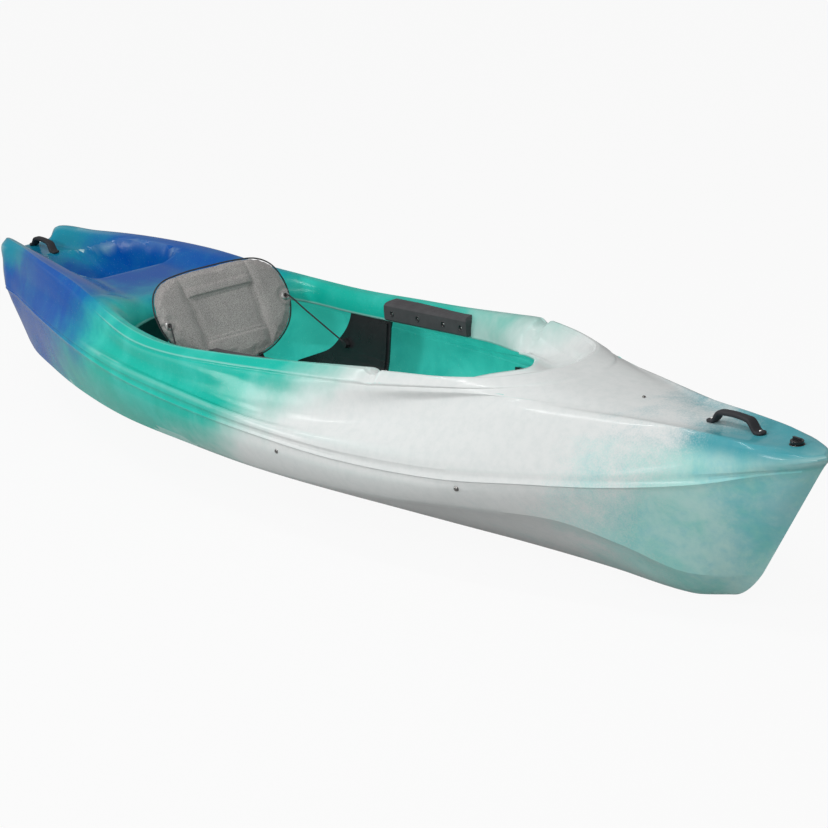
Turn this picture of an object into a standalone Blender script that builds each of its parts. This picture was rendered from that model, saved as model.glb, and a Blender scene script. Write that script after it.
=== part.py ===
"""Recreational sit-inside kayak, 3.05 m long: one-piece moulded shell with its fittings.

X runs to the bow, Y to port and Z up. The origin is under the middle of the boat,
at the height of its lowest point. Lengths are in metres.
"""
import math

import bmesh
import bpy
import numpy as np
from mathutils import Matrix, Vector
from mathutils.bvhtree import BVHTree

# Overall sizes of the shell
LENGTH = 3.05
BEAM = 0.726
DEPTH = 0.430
WALL = 0.005
KEEL_FLAT = 0.036
GAP = 0.0003
CLEARANCE = 0.0005

# Paddle rest in the coaming
NOTCH_X = 0.428
NOTCH_WIDTH = 0.028
NOTCH_DEPTH = 0.011

# Cargo well behind the cockpit
WELL_FLOOR = 0.292

# Seat and backrest
SEAT_HEIGHT = 0.085
SEAT_WIDTH = 0.40
SEAT_WALL = 0.004
SEAT_REAR = -0.580
SEAT_FRONT = -0.075
CUSHION_THICKNESS = 0.034
CUSHION_LENGTH = 0.32
CUSHION_WIDTH = 0.33
BACK_HEIGHT = 0.258
BACK_WIDTH = 0.386
BACK_THICKNESS = 0.032
BACK_LEAN = 29.2
BACK_FOOT = (-0.4644, 0.225)
PANEL_WALL = 0.004
PANEL_WIDTH = 0.30
HINGE_DROP = 0.047
HINGE_BACK = 0.020
HINGE_SPREAD = 0.060
HINGE_PIN = 0.004
HINGE_EYE = 0.012
LUG_WIDTH = 0.008
EYELET_SIDE = 0.171
EYELET_HEIGHT = 0.131
EYELET_BORE = 0.005
CORD = 0.004

# Thigh pads on the coaming
PAD_REAR = -0.198
PAD_FRONT = 0.156
PAD_HEIGHT = 0.047
PAD_PROUD = 0.011
PAD_SCREWS = (-0.165, -0.055, 0.053, 0.13)

# Foot braces along the sides
BRACE_REAR = (0.195, 0.217)
BRACE_FRONT = (0.740, 0.226)
RAIL_HEIGHT = 0.030
RAIL_DEPTH = 0.012
RAIL_WALL = 0.003
RAIL_END = 0.022
RAIL_STAND = 0.006
RAIL_MOUTH = 0.017
RAIL_LIP = 0.0025
RACK_PITCH = 0.025
RACK_SLOT = 0.009
PEDAL_PLACE = 0.275
PEDAL_WIDTH = 0.078
PEDAL_HEIGHT = 0.120
PEDAL_WALL = 0.006
PEDAL_LEAN = 0.20
PEDAL_TRAVEL = (-0.175, 0.225)
SLIDER_LENGTH = 0.056
LATCH_PLACE = 0.0184
LATCH_RISE = 0.0055
LATCH_PIN = 0.0015

# Carry handles, drain and screws
BOW_HANDLE_X = 1.285
BOW_HANDLE_LENGTH = 0.154
STERN_HANDLE_X = -1.4505
STERN_HANDLE_LENGTH = 0.135
HANDLE_RISE = 0.032
HANDLE_WIDTH = 0.024
HANDLE_THICK = 0.011
HANDLE_FOOT = 0.021
DRAIN_X = 1.449
DRAIN_RADIUS = 0.0135
DRAIN_BORE = 0.0075
SCREW = 0.0045
SCREW_HEAD = 0.0085
BOLT = 0.006
BOLT_HEAD = 0.013
PILLAR_THICK = 0.070
PILLAR_SCREW = 1.02
BOW_PILLAR = (0.86, 1.16)
STERN_PILLAR = (-1.30, -0.90)

# Lines of the shell: x, half breadth, height, from the bow to the middle of the stern
KEEL = ((1.252, 0, 0.029), (1.15, 0, 0.014), (0.9, 0, 0.004), (0.1, 0, 0),
        (-0.6, 0, 0.0), (-1.1, 0, 0.008), (-1.33, 0, 0.022), (-1.415, 0, 0.05), (-1.43, 0, 0.06))
CHINE = ((1.345, 0, 0.093), (1.22, 0.085, 0.10), (1.09, 0.148, 0.148), (0.95, 0.192, 0.178),
         (0.74, 0.247, 0.172), (0.49, 0.298, 0.157), (0.1, 0.318, 0.136), (-0.3, 0.308, 0.13),
         (-0.6, 0.285, 0.125), (-0.9, 0.235, 0.125), (-1.15, 0.178, 0.13), (-1.35, 0.127, 0.14),
         (-1.488, 0.072, 0.155), (-1.505, 0, 0.155))
SHEER = ((1.513, 0, 0.352), (1.49, 0.030, 0.35), (1.41, 0.066, 0.335), (1.28, 0.113, 0.303),
         (1.08, 0.186, 0.274), (0.9, 0.240, 0.258), (0.7, 0.291, 0.240), (0.4, 0.343, 0.235),
         (0.1, 0.362, 0.240), (-0.2, 0.359, 0.245), (-0.5, 0.342, 0.25), (-0.8, 0.295, 0.255),
         (-1.1, 0.222, 0.262), (-1.35, 0.156, 0.27), (-1.514, 0.107, 0.275), (-1.5275, 0, 0.275))
SHOULDER = ((1.5275, 0, 0.375), (1.505, 0.033, 0.372), (1.44, 0.064, 0.364), (1.27, 0.103, 0.342),
            (1.07, 0.170, 0.312),
            (0.7, 0.275, 0.279), (0.4, 0.332, 0.271), (0.1, 0.354, 0.270), (-0.2, 0.350, 0.278),
            (-0.6, 0.322, 0.288), (-0.97, 0.248, 0.294), (-1.21, 0.188, 0.296),
            (-1.43, 0.130, 0.292), (-1.516, 0.108, 0.29), (-1.5275, 0, 0.29))
GROOVE = ((1.513, 0, 0.384), (1.495, 0.028, 0.384), (1.43, 0.058, 0.385), (1.32, 0.076, 0.385),
          (1.20, 0.092, 0.380), (1.05, 0.130, 0.373),
          (0.85, 0.180, 0.366), (0.6, 0.250, 0.322), (0.265, 0.328, 0.279), (0.1, 0.334, 0.267),
          (-0.2, 0.333, 0.276), (-0.45, 0.322, 0.286), (-0.65, 0.298, 0.298), (-0.9, 0.245, 0.322),
          (-1.15, 0.186, 0.337), (-1.4, 0.124, 0.335), (-1.518, 0.106, 0.325), (-1.5275, 0, 0.322))
FLANK = ((1.2, 0, 0.390), (1.12, 0.055, 0.391), (0.95, 0.115, 0.395), (0.78, 0.163, 0.396),
         (0.6, 0.215, 0.372), (0.42, 0.270, 0.332), (0.265, 0.308, 0.302), (0.1, 0.320, 0.292),
         (-0.2, 0.322, 0.294), (-0.45, 0.312, 0.301), (-0.65, 0.284, 0.318), (-0.9, 0.234, 0.357),
         (-1.15, 0.178, 0.376), (-1.4, 0.117, 0.372), (-1.519, 0.100, 0.355), (-1.527, 0, 0.346))
RIM = ((0.87, 0, 0.416), (0.845, 0.085, 0.415), (0.76, 0.151, 0.408), (0.6, 0.215, 0.397),
       (0.42, 0.262, 0.381), (0.216, 0.284, 0.365), (0.1, 0.291, 0.357), (-0.1, 0.307, 0.345),
       (-0.3, 0.313, 0.334), (-0.5, 0.302, 0.333), (-0.7, 0.265, 0.353), (-0.9, 0.224, 0.387),
       (-1.15, 0.172, 0.404), (-1.4, 0.110, 0.402), (-1.520, 0.092, 0.392), (-1.5265, 0, 0.363))
CREST = ((0.79, 0, 0.430), (0.775, 0.065, 0.430), (0.72, 0.135, 0.426), (0.62, 0.187, 0.420),
         (0.5, 0.222, 0.417), (0.4, 0.242, 0.413), (0.3, 0.247, 0.404), (0.1, 0.260, 0.385),
         (-0.1, 0.276, 0.369), (-0.35, 0.286, 0.354), (-0.5, 0.276, 0.358), (-0.66, 0.252, 0.371),
         (-0.91, 0.208, 0.402), (-1.16, 0.162, 0.413), (-1.35, 0.115, 0.414),
         (-1.517, 0.077, 0.409), (-1.522, 0.057, 0.382), (-1.525, 0, 0.377))
LIP = ((0.65, 0, 0.393), (0.60, 0.06, 0.386), (0.515, 0.12, 0.366), (0.40, 0.17, 0.348),
       (0.25, 0.213, 0.336), (0.1, 0.236, 0.323), (-0.15, 0.248, 0.310), (-0.37, 0.250, 0.303),
       (-0.56, 0.237, 0.305), (-0.67, 0.19, 0.308), (-0.715, 0.10, 0.315), (-0.72, 0, 0.316))

# Reach of the lines as drawn, which LENGTH, BEAM and DEPTH stretch
DRAWN_BOW = SHOULDER[0][0]
DRAWN_STERN = SHOULDER[-1][0]
DRAWN_DEPTH = CREST[0][2]
DRAWN_BEAM = 2 * max(point[1] for point in SHEER) + 0.002

# Stations: shares of each line's length forward of the middle, and x aft of it
MID_X = 0.1
FRONT_SHARES = (0, 0.04, 0.09, 0.15, 0.22, 0.29, 0.36, 0.43, 0.50, 0.55, 0.565, 0.572, 0.58,
                0.587, 0.602, 0.66, 0.73, 0.81, 0.9, 1)
AFT_STATIONS = (0.1, 0.0, -0.1, -0.2, -0.3, -0.4, -0.5, -0.57, -0.63, -0.68, -0.72, -0.76, -0.80,
                -0.88, -0.94, -0.985, -1.02, -1.07, -1.13, -1.19, -1.25, -1.31, -1.37, -1.43,
                -1.475, -1.517)
TRANSOM_SHARES = (0, 0.25, 0.5, 0.66, 0.83, 1)
COCKPIT_STATIONS = 13
SAMPLES = 16

# Power of the curve from keel to chine along the boat: 1 is a straight V, 3 a flat bottom
BOTTOM_POWER = ((-1.2, 1.0), (-0.6, 1.03), (-0.35, 1.2), (-0.2, 1.5), (0, 2.0), (0.3, 2.6),
                (0.6, 2.8), (1.1, 2.6), (1.4, 2.2))

# Rear deck: height of its middle, and half width and depth of the cargo well, along the boat
REAR_DECK = ((-1.525, 0.377), (-1.45, 0.371), (-1.38, 0.371), (-1.3, 0.376), (-1.15, 0.388),
             (-1.0, 0.378), (-0.88, 0.366), (-0.80, 0.360))
WELL_WIDTH = ((-1.40, 0.0), (-1.36, 0.038), (-1.3, 0.082), (-1.2, 0.122), (-1.1, 0.148),
              (-1.04, 0.156), (-0.985, 0.15))
WELL_SHARE = ((-1.40, 0), (-1.36, 0.15), (-1.30, 0.45), (-1.24, 0.85), (-1.19, 1.0),
              (-1.07, 1.0), (-1.03, 0.74), (-0.985, 0.0))


def clear_scene():
    for old in list(bpy.data.objects):
        bpy.data.objects.remove(old, do_unlink=True)


# Places and materials
def place(x, y, z):
    """A place on the drawn lines, moved to where it is on the boat as sized."""
    middle = (DRAWN_BOW + DRAWN_STERN) / 2
    return Vector(((x - middle) * LENGTH / (DRAWN_BOW - DRAWN_STERN),
                   y * BEAM / DRAWN_BEAM, z * DEPTH / DRAWN_DEPTH))


def material(name, color, roughness, metallic=0.0):
    made = bpy.data.materials.new(name)
    made.use_nodes = True
    shader = made.node_tree.nodes["Principled BSDF"]
    shader.inputs["Base Color"].default_value = (*color, 1)
    shader.inputs["Roughness"].default_value = roughness
    shader.inputs["Metallic"].default_value = metallic
    return made


def new_object(name, bm, finish=None, sharp=35):
    """An object that owns the given mesh."""
    bmesh.ops.remove_doubles(bm, verts=bm.verts, dist=0.000005)
    mesh = bpy.data.meshes.new(name)
    bm.to_mesh(mesh)
    bm.free()
    mesh.shade_smooth()
    mesh.set_sharp_from_angle(angle=math.radians(sharp))
    piece = bpy.data.objects.new(name, mesh)
    bpy.context.collection.objects.link(piece)
    if finish:
        mesh.materials.append(finish)
    else:
        piece.hide_render = True
        piece.display_type = "WIRE"
    return piece


def combine(piece, other, operation="DIFFERENCE"):
    """Cut, join or trim a piece with another shape."""
    step = piece.modifiers.new(operation.lower(), "BOOLEAN")
    step.operation = operation
    step.object = other
    step.solver = "EXACT"
    return piece


# Shapes
def loft(sections, close=True):
    """A solid through closed sections that have as many points each."""
    bm = bmesh.new()
    rings = [[bm.verts.new(p) for p in section] for section in sections]
    for r0, r1 in zip(rings, rings[1:]):
        for k in range(len(r0)):
            n = (k + 1) % len(r0)
            bm.faces.new((r0[k], r0[n], r1[n], r1[k]))
    if close:
        bm.faces.new(rings[0][::-1])
        bm.faces.new(rings[-1])
    bmesh.ops.recalc_face_normals(bm, faces=bm.faces)
    return bm


def turned(profile, sides=12):
    """A solid turned about Z from its (radius, height) outline, read from axis to axis."""
    bm = bmesh.new()
    rings = []
    for radius, height in profile:
        if radius < 1e-6:
            rings.append([bm.verts.new((0, 0, height))])
            continue
        ring = []
        for k in range(sides):
            angle = 2 * math.pi * k / sides
            ring.append(bm.verts.new((radius * math.cos(angle), radius * math.sin(angle), height)))
        rings.append(ring)
    joined = zip(rings, rings[1:])
    if len(rings[0]) > 1:
        joined = zip(rings, rings[1:] + rings[:1])
    for r0, r1 in joined:
        for k in range(sides):
            n = (k + 1) % sides
            corners = []
            for vert in (r0[k % len(r0)], r0[n % len(r0)], r1[n % len(r1)], r1[k % len(r1)]):
                if vert not in corners:
                    corners.append(vert)
            bm.faces.new(corners)
    bmesh.ops.recalc_face_normals(bm, faces=bm.faces)
    return bm


def rod(radius, low, high, sides=12):
    return turned(((0, low), (radius, low), (radius, high), (0, high)), sides)


def block(size, centre=(0, 0, 0)):
    bm = bmesh.new()
    bmesh.ops.create_cube(bm, size=1)
    bmesh.ops.scale(bm, vec=size, verts=bm.verts)
    bmesh.ops.translate(bm, vec=centre, verts=bm.verts)
    return bm


def rounded(corners, steps=4):
    """A closed outline of corners given as (x, y, radius), each turned with an arc."""
    outline = []
    count = len(corners)
    for k, (x, y, radius) in enumerate(corners):
        here = Vector((x, y))
        back = (Vector(corners[k - 1][:2]) - here).normalized()
        ahead = (Vector(corners[(k + 1) % count][:2]) - here).normalized()
        if radius <= 0:
            outline.append(here)
            continue
        half = back.angle(ahead) / 2
        reach = radius / math.tan(half)
        centre = here + (back + ahead).normalized() * radius / math.sin(half)
        start = here + back * reach - centre
        finish = here + ahead * reach - centre
        for n in range(steps + 1):
            outline.append(centre + start.slerp(finish, n / steps).normalized() * radius)
    return outline


def plate(outline, low, high):
    """A flat outline made solid between two heights along Z."""
    return loft([[(p[0], p[1], z) for p in outline] for z in (low, high)])


def moved(bm, matrix):
    bmesh.ops.transform(bm, matrix=matrix, verts=bm.verts)
    if matrix.to_3x3().determinant() < 0:
        bmesh.ops.reverse_faces(bm, faces=bm.faces)
    return bm


def frame_of(origin, z_axis, x_hint=(1, 0, 0)):
    """A matrix that puts local Z along an axis, with local X as near the hint as it can be."""
    z = Vector(z_axis).normalized()
    x = Vector(x_hint) - z * Vector(x_hint).dot(z)
    x.normalize()
    turn = Matrix((x, z.cross(x), z)).transposed()
    return Matrix.Translation(origin) @ turn.to_4x4()


def merged(parts):
    """Several separate shapes in one mesh, to cut with."""
    joined = bmesh.new()
    for bm in parts:
        scratch = bpy.data.meshes.new("scratch")
        bm.to_mesh(scratch)
        bm.free()
        joined.from_mesh(scratch)
        bpy.data.meshes.remove(scratch)
    return joined


# Lines and surface of the shell
def spline(points, blunt_start, blunt_end):
    """Centripetal Catmull-Rom curve; a blunt end meets the middle plane square."""
    pts = [np.array(p, float) for p in points]
    mirror = np.array((1, -1, 1))
    first = pts[1] * mirror if blunt_start else 2 * pts[0] - pts[1]
    last = pts[-2] * mirror if blunt_end else 2 * pts[-1] - pts[-2]
    pts = [first] + pts + [last]
    dense = []
    for p0, p1, p2, p3 in zip(pts, pts[1:], pts[2:], pts[3:]):
        t1 = np.linalg.norm(p1 - p0) ** 0.5
        t2 = t1 + np.linalg.norm(p2 - p1) ** 0.5
        t3 = t2 + np.linalg.norm(p3 - p2) ** 0.5
        for k in range(SAMPLES):
            t = t1 + (t2 - t1) * k / SAMPLES
            a1 = p0 * (t1 - t) / t1 + p1 * t / t1
            a2 = p1 * (t2 - t) / (t2 - t1) + p2 * (t - t1) / (t2 - t1)
            a3 = p2 * (t3 - t) / (t3 - t2) + p3 * (t - t2) / (t3 - t2)
            b1 = a1 * (t2 - t) / t2 + a2 * t / t2
            b2 = a2 * (t3 - t) / (t3 - t1) + a3 * (t - t1) / (t3 - t1)
            dense.append(b1 * (t2 - t) / (t2 - t1) + b2 * (t - t1) / (t2 - t1))
    dense.append(pts[-2])
    return np.array(dense)


def by_length(dense, shares):
    """Points at shares of a curve's length."""
    steps = np.linalg.norm(np.diff(dense, axis=0), axis=1)
    run = np.concatenate(([0], np.cumsum(steps)))
    wanted = np.array(shares) * run[-1]
    return np.stack([np.interp(wanted, run, dense[:, k]) for k in range(3)], axis=1)


def by_station(dense, shares):
    """Points of a curve that runs aft, at shares of its extent along X."""
    x = -dense[:, 0]
    wanted = x[0] + np.array(shares) * (x[-1] - x[0])
    return np.stack([np.interp(wanted, x, dense[:, k]) for k in range(3)], axis=1)


def rail(points, blunt_bow=False, corner=-2):
    """A line of the shell at every station, from the bow to the middle of the stern."""
    mid = next(i for i, p in enumerate(points) if p[0] == MID_X) * SAMPLES
    turn = (len(points) + corner) * SAMPLES
    dense = spline(points, blunt_bow, True)
    dense[:, 0] = np.clip(dense[:, 0], DRAWN_STERN, DRAWN_BOW)
    dense[:, 2] = np.maximum(dense[:, 2], 0)
    aft = [(MID_X - x) / (MID_X - AFT_STATIONS[-1]) for x in AFT_STATIONS]
    parts = (by_length(dense[:mid + 1], FRONT_SHARES),
             by_station(dense[mid:turn + 1], aft)[1:],
             by_length(dense[turn:], TRANSOM_SHARES)[1:])
    return np.concatenate(parts)


def lip_rail():
    """The lower edge of the cockpit's inner wall, at the cockpit's stations."""
    mid = next(i for i, p in enumerate(LIP) if p[0] == MID_X) * SAMPLES
    turn = (len(LIP) - 3) * SAMPLES
    dense = spline(LIP, True, True)
    first, last = AFT_STATIONS[0], AFT_STATIONS[COCKPIT_STATIONS - 1]
    aft = [(first - x) / (first - last) for x in AFT_STATIONS[:COCKPIT_STATIONS]]
    parts = (by_length(dense[:mid + 1], FRONT_SHARES),
             by_length(dense[mid:turn + 1], aft)[1:],
             by_length(dense[turn:], TRANSOM_SHARES)[1:])
    return np.concatenate(parts)


def smooth_step(value):
    t = np.clip(value, 0, 1)
    return t * t * (3 - 2 * t)


def table(rows, x):
    return np.interp(x, [r[0] for r in rows], [r[1] for r in rows])


def notch(x):
    """How far the coaming's top is lowered at the paddle rest."""
    return NOTCH_DEPTH * smooth_step(1.6 - np.abs(x - NOTCH_X) / (NOTCH_WIDTH / 2))


def rear_deck_height(x, y, half, crest):
    """Height of the rear deck: platform, cargo well and the gunwales beside them."""
    across = abs(y) / half
    base = table(REAR_DECK, x)
    height = base + (crest - base) * smooth_step((across - 0.45) / 0.5)
    width = table(WELL_WIDTH, x)
    if width > 0.005:
        wall = 1 - smooth_step((abs(y) / width - 0.72) / 0.28)
        height -= (height - WELL_FLOOR) * table(WELL_SHARE, x) * wall
    return height


def rows_between(lines, counts):
    """Rows of a surface that runs smoothly across a set of lines."""
    grid = []
    for i in range(len(lines[0])):
        dense = spline([line[i] for line in lines], False, False)
        column = []
        for k, count in enumerate(counts):
            piece = dense[k * SAMPLES:(k + 1) * SAMPLES + 1]
            column.extend(by_length(piece, [n / count for n in range(count)]))
        column.append(lines[-1][i])
        grid.append(column)
    return np.array(grid).transpose(1, 0, 2)


def bottom_rows(keel, chine):
    """The bottom, from the flat of the keel to the chine."""
    rows = [keel]
    power = table(BOTTOM_POWER, keel[:, 0])
    flat = np.minimum(KEEL_FLAT / 2, chine[:, 1] * 0.3) * DRAWN_BEAM / BEAM
    for u in (0, 0.33, 0.67, 1):
        row = keel + (chine - keel) * u
        row[:, 1] = flat + (chine[:, 1] - flat) * u
        row[:, 2] = keel[:, 2] + (chine[:, 2] - keel[:, 2]) * u ** power
        rows.append(row)
    return np.array(rows)


def side_rows(chine, sheer):
    """The side, from the chine to the sheer, slightly full amidships."""
    rows = []
    for u in (0, 0.5, 1):
        row = chine + (sheer - chine) * u
        fullness = np.clip(1 - (row[:, 0] / 1.2) ** 2, 0, 1)
        row[:, 1] += 0.014 * fullness * 4 * u * (1 - u)
        rows.append(row)
    return np.array(rows)


def rear_rows(crest, first, turn):
    """The rear deck between the gunwales, from the cockpit to the stern."""
    rows = []
    for i in range(first, turn):
        x, half, top = crest[i]
        row = []
        for share in TRANSOM_SHARES:
            y = half * (1 - share)
            row.append((x, y, rear_deck_height(x, y, half, top)))
        rows.append(row)
    rows.append([tuple(p) for p in crest[turn:]])
    return np.array(rows)


def cockpit_rows(ring_top, lip):
    """The cockpit's inner wall: a rolled edge at the sides, a sloping tray in front."""
    rows = []
    tray = smooth_step((ring_top[:, 0] - 0.42) / 0.15)
    for u in (0, 0.2, 0.4, 0.6, 0.8, 1):
        inward = math.sin(u * math.pi / 2) * (1 - tray) + u * tray
        down = (1 - math.cos(u * math.pi / 2)) * (1 - tray) + u ** 0.6 * tray
        row = ring_top + (lip - ring_top) * inward[:, None]
        row[:, 2] = ring_top[:, 2] + (lip[:, 2] - ring_top[:, 2]) * down
        row[:, 2] -= 0.012 * tray * math.sin(u * math.pi) + notch(row[:, 0]) * (1 - u) ** 0.5
        rows.append(row)
    return np.array(rows)


def skin_grids():
    """The port half of the outer surface, as grids of points."""
    chine = rail(CHINE)
    sheer = rail(SHEER)
    crest = rail(CREST, True, -3)
    lines = [sheer, rail(SHOULDER, True), rail(GROOVE, True), rail(FLANK, True), rail(RIM, True), crest]
    deck = rows_between(lines, (1, 1, 3, 2, 2))
    for row, share in ((-1, 1.0), (-2, 0.8), (-3, 0.45)):
        deck[row][:, 2] -= notch(deck[row][:, 0]) * share
    last = len(FRONT_SHARES) - 1 + COCKPIT_STATIONS - 1
    turn = len(FRONT_SHARES) - 1 + len(AFT_STATIONS) - 1
    rear = rear_rows(crest, last, turn)
    ring_top = np.concatenate((crest[:last + 1], rear[0][1:]))
    grids = [bottom_rows(rail(KEEL), chine), side_rows(chine, sheer), deck, rear,
             cockpit_rows(ring_top, lip_rail())]
    grids = [np.array([[place(*point) for point in row] for row in grid]) for grid in grids]
    for grid in grids:
        grid[:, :, 0] = np.clip(grid[:, :, 0], -LENGTH / 2, LENGTH / 2)
    return grids


def skin(distance=0.0):
    """Both halves of the surface as an open sheet, its faces moved out by a distance."""
    bm = bmesh.new()
    for grid in skin_grids():
        for hand in (1, -1):
            verts = [[bm.verts.new((p[0], p[1] * hand, p[2])) for p in row] for row in grid]
            for r0, r1 in zip(verts, verts[1:]):
                for a, b, c, d in zip(r0, r0[1:], r1[1:], r1):
                    bm.faces.new((a, b, c, d))
    bmesh.ops.remove_doubles(bm, verts=bm.verts, dist=0.00002)
    bmesh.ops.dissolve_degenerate(bm, edges=bm.edges, dist=0.00001)
    bmesh.ops.triangulate(bm, faces=bm.faces, quad_method="SHORT_EDGE")
    bmesh.ops.recalc_face_normals(bm, faces=bm.faces)
    lowest = min(bm.faces, key=lambda f: f.calc_center_median().z)
    if lowest.normal.z > 0:
        bmesh.ops.reverse_faces(bm, faces=bm.faces)
    if distance:
        offset_faces(bm, distance)
    return bm


def offset_faces(bm, distance):
    """Move each point so that the faces around it all move out by one distance."""
    bm.normal_update()
    moves = []
    for vert in bm.verts:
        normals = np.array([face.normal for face in vert.link_faces])
        weight = 0.001 * len(normals) * np.eye(3)
        move = np.linalg.solve(normals.T @ normals + weight, normals.sum(axis=0) * distance)
        length = np.linalg.norm(move)
        move *= min(1, 1.6 * abs(distance) / length)
        if abs(vert.co.y) < 1e-6:
            move[1] = 0
        moves.append(Vector(move))
    bm.verts.index_update()
    for _ in range(2):
        evened = []
        for vert in bm.verts:
            around = [moves[edge.other_vert(vert).index] for edge in vert.link_edges]
            evened.append(moves[vert.index] * 0.6 + sum(around, Vector()) * 0.4 / len(around))
        moves = evened
    for vert, move in zip(bm.verts, moves):
        vert.co += move


def cap_cockpit(bm):
    """Close the cockpit's mouth with strips from side to side."""
    start = max((e for e in bm.edges if e.is_boundary), key=lambda e: e.verts[0].co.x)
    loop = [max(start.verts, key=lambda v: -abs(v.co.y))]
    used = set()
    while True:
        ways = [e for e in loop[-1].link_edges if e.is_boundary and e not in used]
        if not ways:
            break
        used.add(ways[0])
        loop.append(ways[0].other_vert(loop[-1]))
    loop.pop()
    count = len(loop)
    for k in range(count // 2):
        corners = []
        for vert in (loop[k], loop[k + 1], loop[-k - 1], loop[-k % count]):
            if vert not in corners:
                corners.append(vert)
        bm.faces.new(corners)
    bmesh.ops.recalc_face_normals(bm, faces=bm.faces)
    return bm


def shell():
    """The moulding: outer surface, inner surface a wall inside it, and the cockpit's edge."""
    outer = skin()
    inner = skin(-WALL)
    bmesh.ops.reverse_faces(inner, faces=inner.faces)
    bm = merged((outer, inner))
    rim = [edge for edge in bm.edges if edge.is_boundary]
    bmesh.ops.bridge_loops(bm, edges=rim)
    bmesh.ops.recalc_face_normals(bm, faces=bm.faces)
    return bm


# Guides that the fittings are placed and trimmed with
def skin_tree(distance):
    bm = skin(distance)
    tree = BVHTree.FromBMesh(bm)
    bm.free()
    return tree


def on_side(bm, hand):
    """A shape made for the port side, or its mirror image for starboard."""
    return moved(bm, Matrix.Diagonal((1, hand, 1, 1)))


def side_name(hand):
    return "port" if hand > 0 else "starboard"


# Fasteners
def screw_shapes(matrix, shank, head, length):
    """A pan-head screw seated by its matrix, and the rod that makes its hole."""
    profile = ((0, head * 0.38), (head * 0.36, head * 0.32), (head * 0.5, GAP),
               (shank / 2, GAP), (shank / 2, -length), (0, -length))
    body = moved(turned(profile, 8), matrix)
    hole = moved(rod(shank / 2 + CLEARANCE, -length - 0.003, 0.002, 8), matrix)
    return body, hole


def sunk_hole(matrix, shank, head, length):
    """A screw's hole with a round recess for its head."""
    small, large = shank / 2 + CLEARANCE, head / 2 + CLEARANCE * 2
    return moved(turned(((0, -length), (small, -length), (small, 0), (large, 0), (large, 0.02),
                         (0, 0.02)), 12), matrix)


# Seat
def seat_section(x):
    """Inner face of the seat moulding across the boat: floor, hip and hanger."""
    half = SEAT_WIDTH / 2
    rise = 0.02 * smooth_step((x - SEAT_REAR) / (SEAT_FRONT - SEAT_REAR))
    floor = SEAT_HEIGHT + rise
    points = [(0, floor), (half * 0.45, floor + 0.002), (half * 0.78, floor + 0.008),
              (half * 0.97, floor + 0.026), (half * 1.09, floor + 0.062)]
    for share, z in ((1.17, 0.195), (1.225, 0.25), (1.265, 0.300), (1.275, 0.322), (1.275, 0.352)):
        points.append((half * share, place(0, 0, z).z))
    return points


def seat_curve(x):
    return spline([(x, p[0], p[1]) for p in seat_section(x)], False, False)[::6]


def seat_height(x, y):
    """Top of the seat's floor."""
    dense = seat_curve(x)
    return float(np.interp(abs(y), dense[:, 1], dense[:, 2]))


def seat_channel(proud, wall):
    """The seat moulding before it is trimmed: one channel with thicker hangers."""
    sections = []
    for x in np.linspace(place(SEAT_REAR - 0.01, 0, 0).x, place(SEAT_FRONT + 0.01, 0, 0).x, 7):
        points = [Vector(p) for p in seat_curve(x)]
        inner = []
        outer = []
        for k, point in enumerate(points):
            along = points[min(k + 1, len(points) - 1)] - points[max(k - 1, 0)]
            out = Vector((0, along.z, -along.y)).normalized()
            thick = wall + 0.004 * smooth_step((point.z - 0.29) / 0.02)
            inner.append(point - out * proud)
            outer.append(point + out * thick)
        ring = inner[::-1] + [Vector((p.x, -p.y, p.z)) for p in inner[1:]]
        ring += [Vector((p.x, -p.y, p.z)) for p in outer[:0:-1]] + outer
        sections.append(ring)
    return loft(sections)


def side_plate(outline, y_low, y_high):
    """A side-view outline, given as (x, z), made solid between two breadths."""
    upright = frame_of((0, 0, 0), (0, -1, 0))
    return moved(plate(outline, -y_high, -y_low), upright)


def seat_outline():
    """The seat's side view: hanger and tongue, cut-back hip, floor."""
    corners = ((-0.352, 0.352, 0.006), (-0.145, 0.352, 0.008), (-0.145, 0.312, 0.004),
               (-0.197, 0.306, 0.002), (-0.200, 0.122, 0.06), (SEAT_FRONT, 0.118, 0.012),
               (SEAT_FRONT, 0.02, 0), (SEAT_REAR, 0.02, 0), (SEAT_REAR, 0.150, 0.012),
               (-0.442, 0.200, 0.14), (-0.37, 0.27, 0.11))
    spots = []
    for x, z, radius in corners:
        spot = place(x, 0, z)
        spots.append((spot.x, spot.z, radius))
    return rounded(spots, 6)


def hinge_centre():
    return back_frame() @ Vector((0, -HINGE_DROP, -HINGE_BACK))


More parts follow.
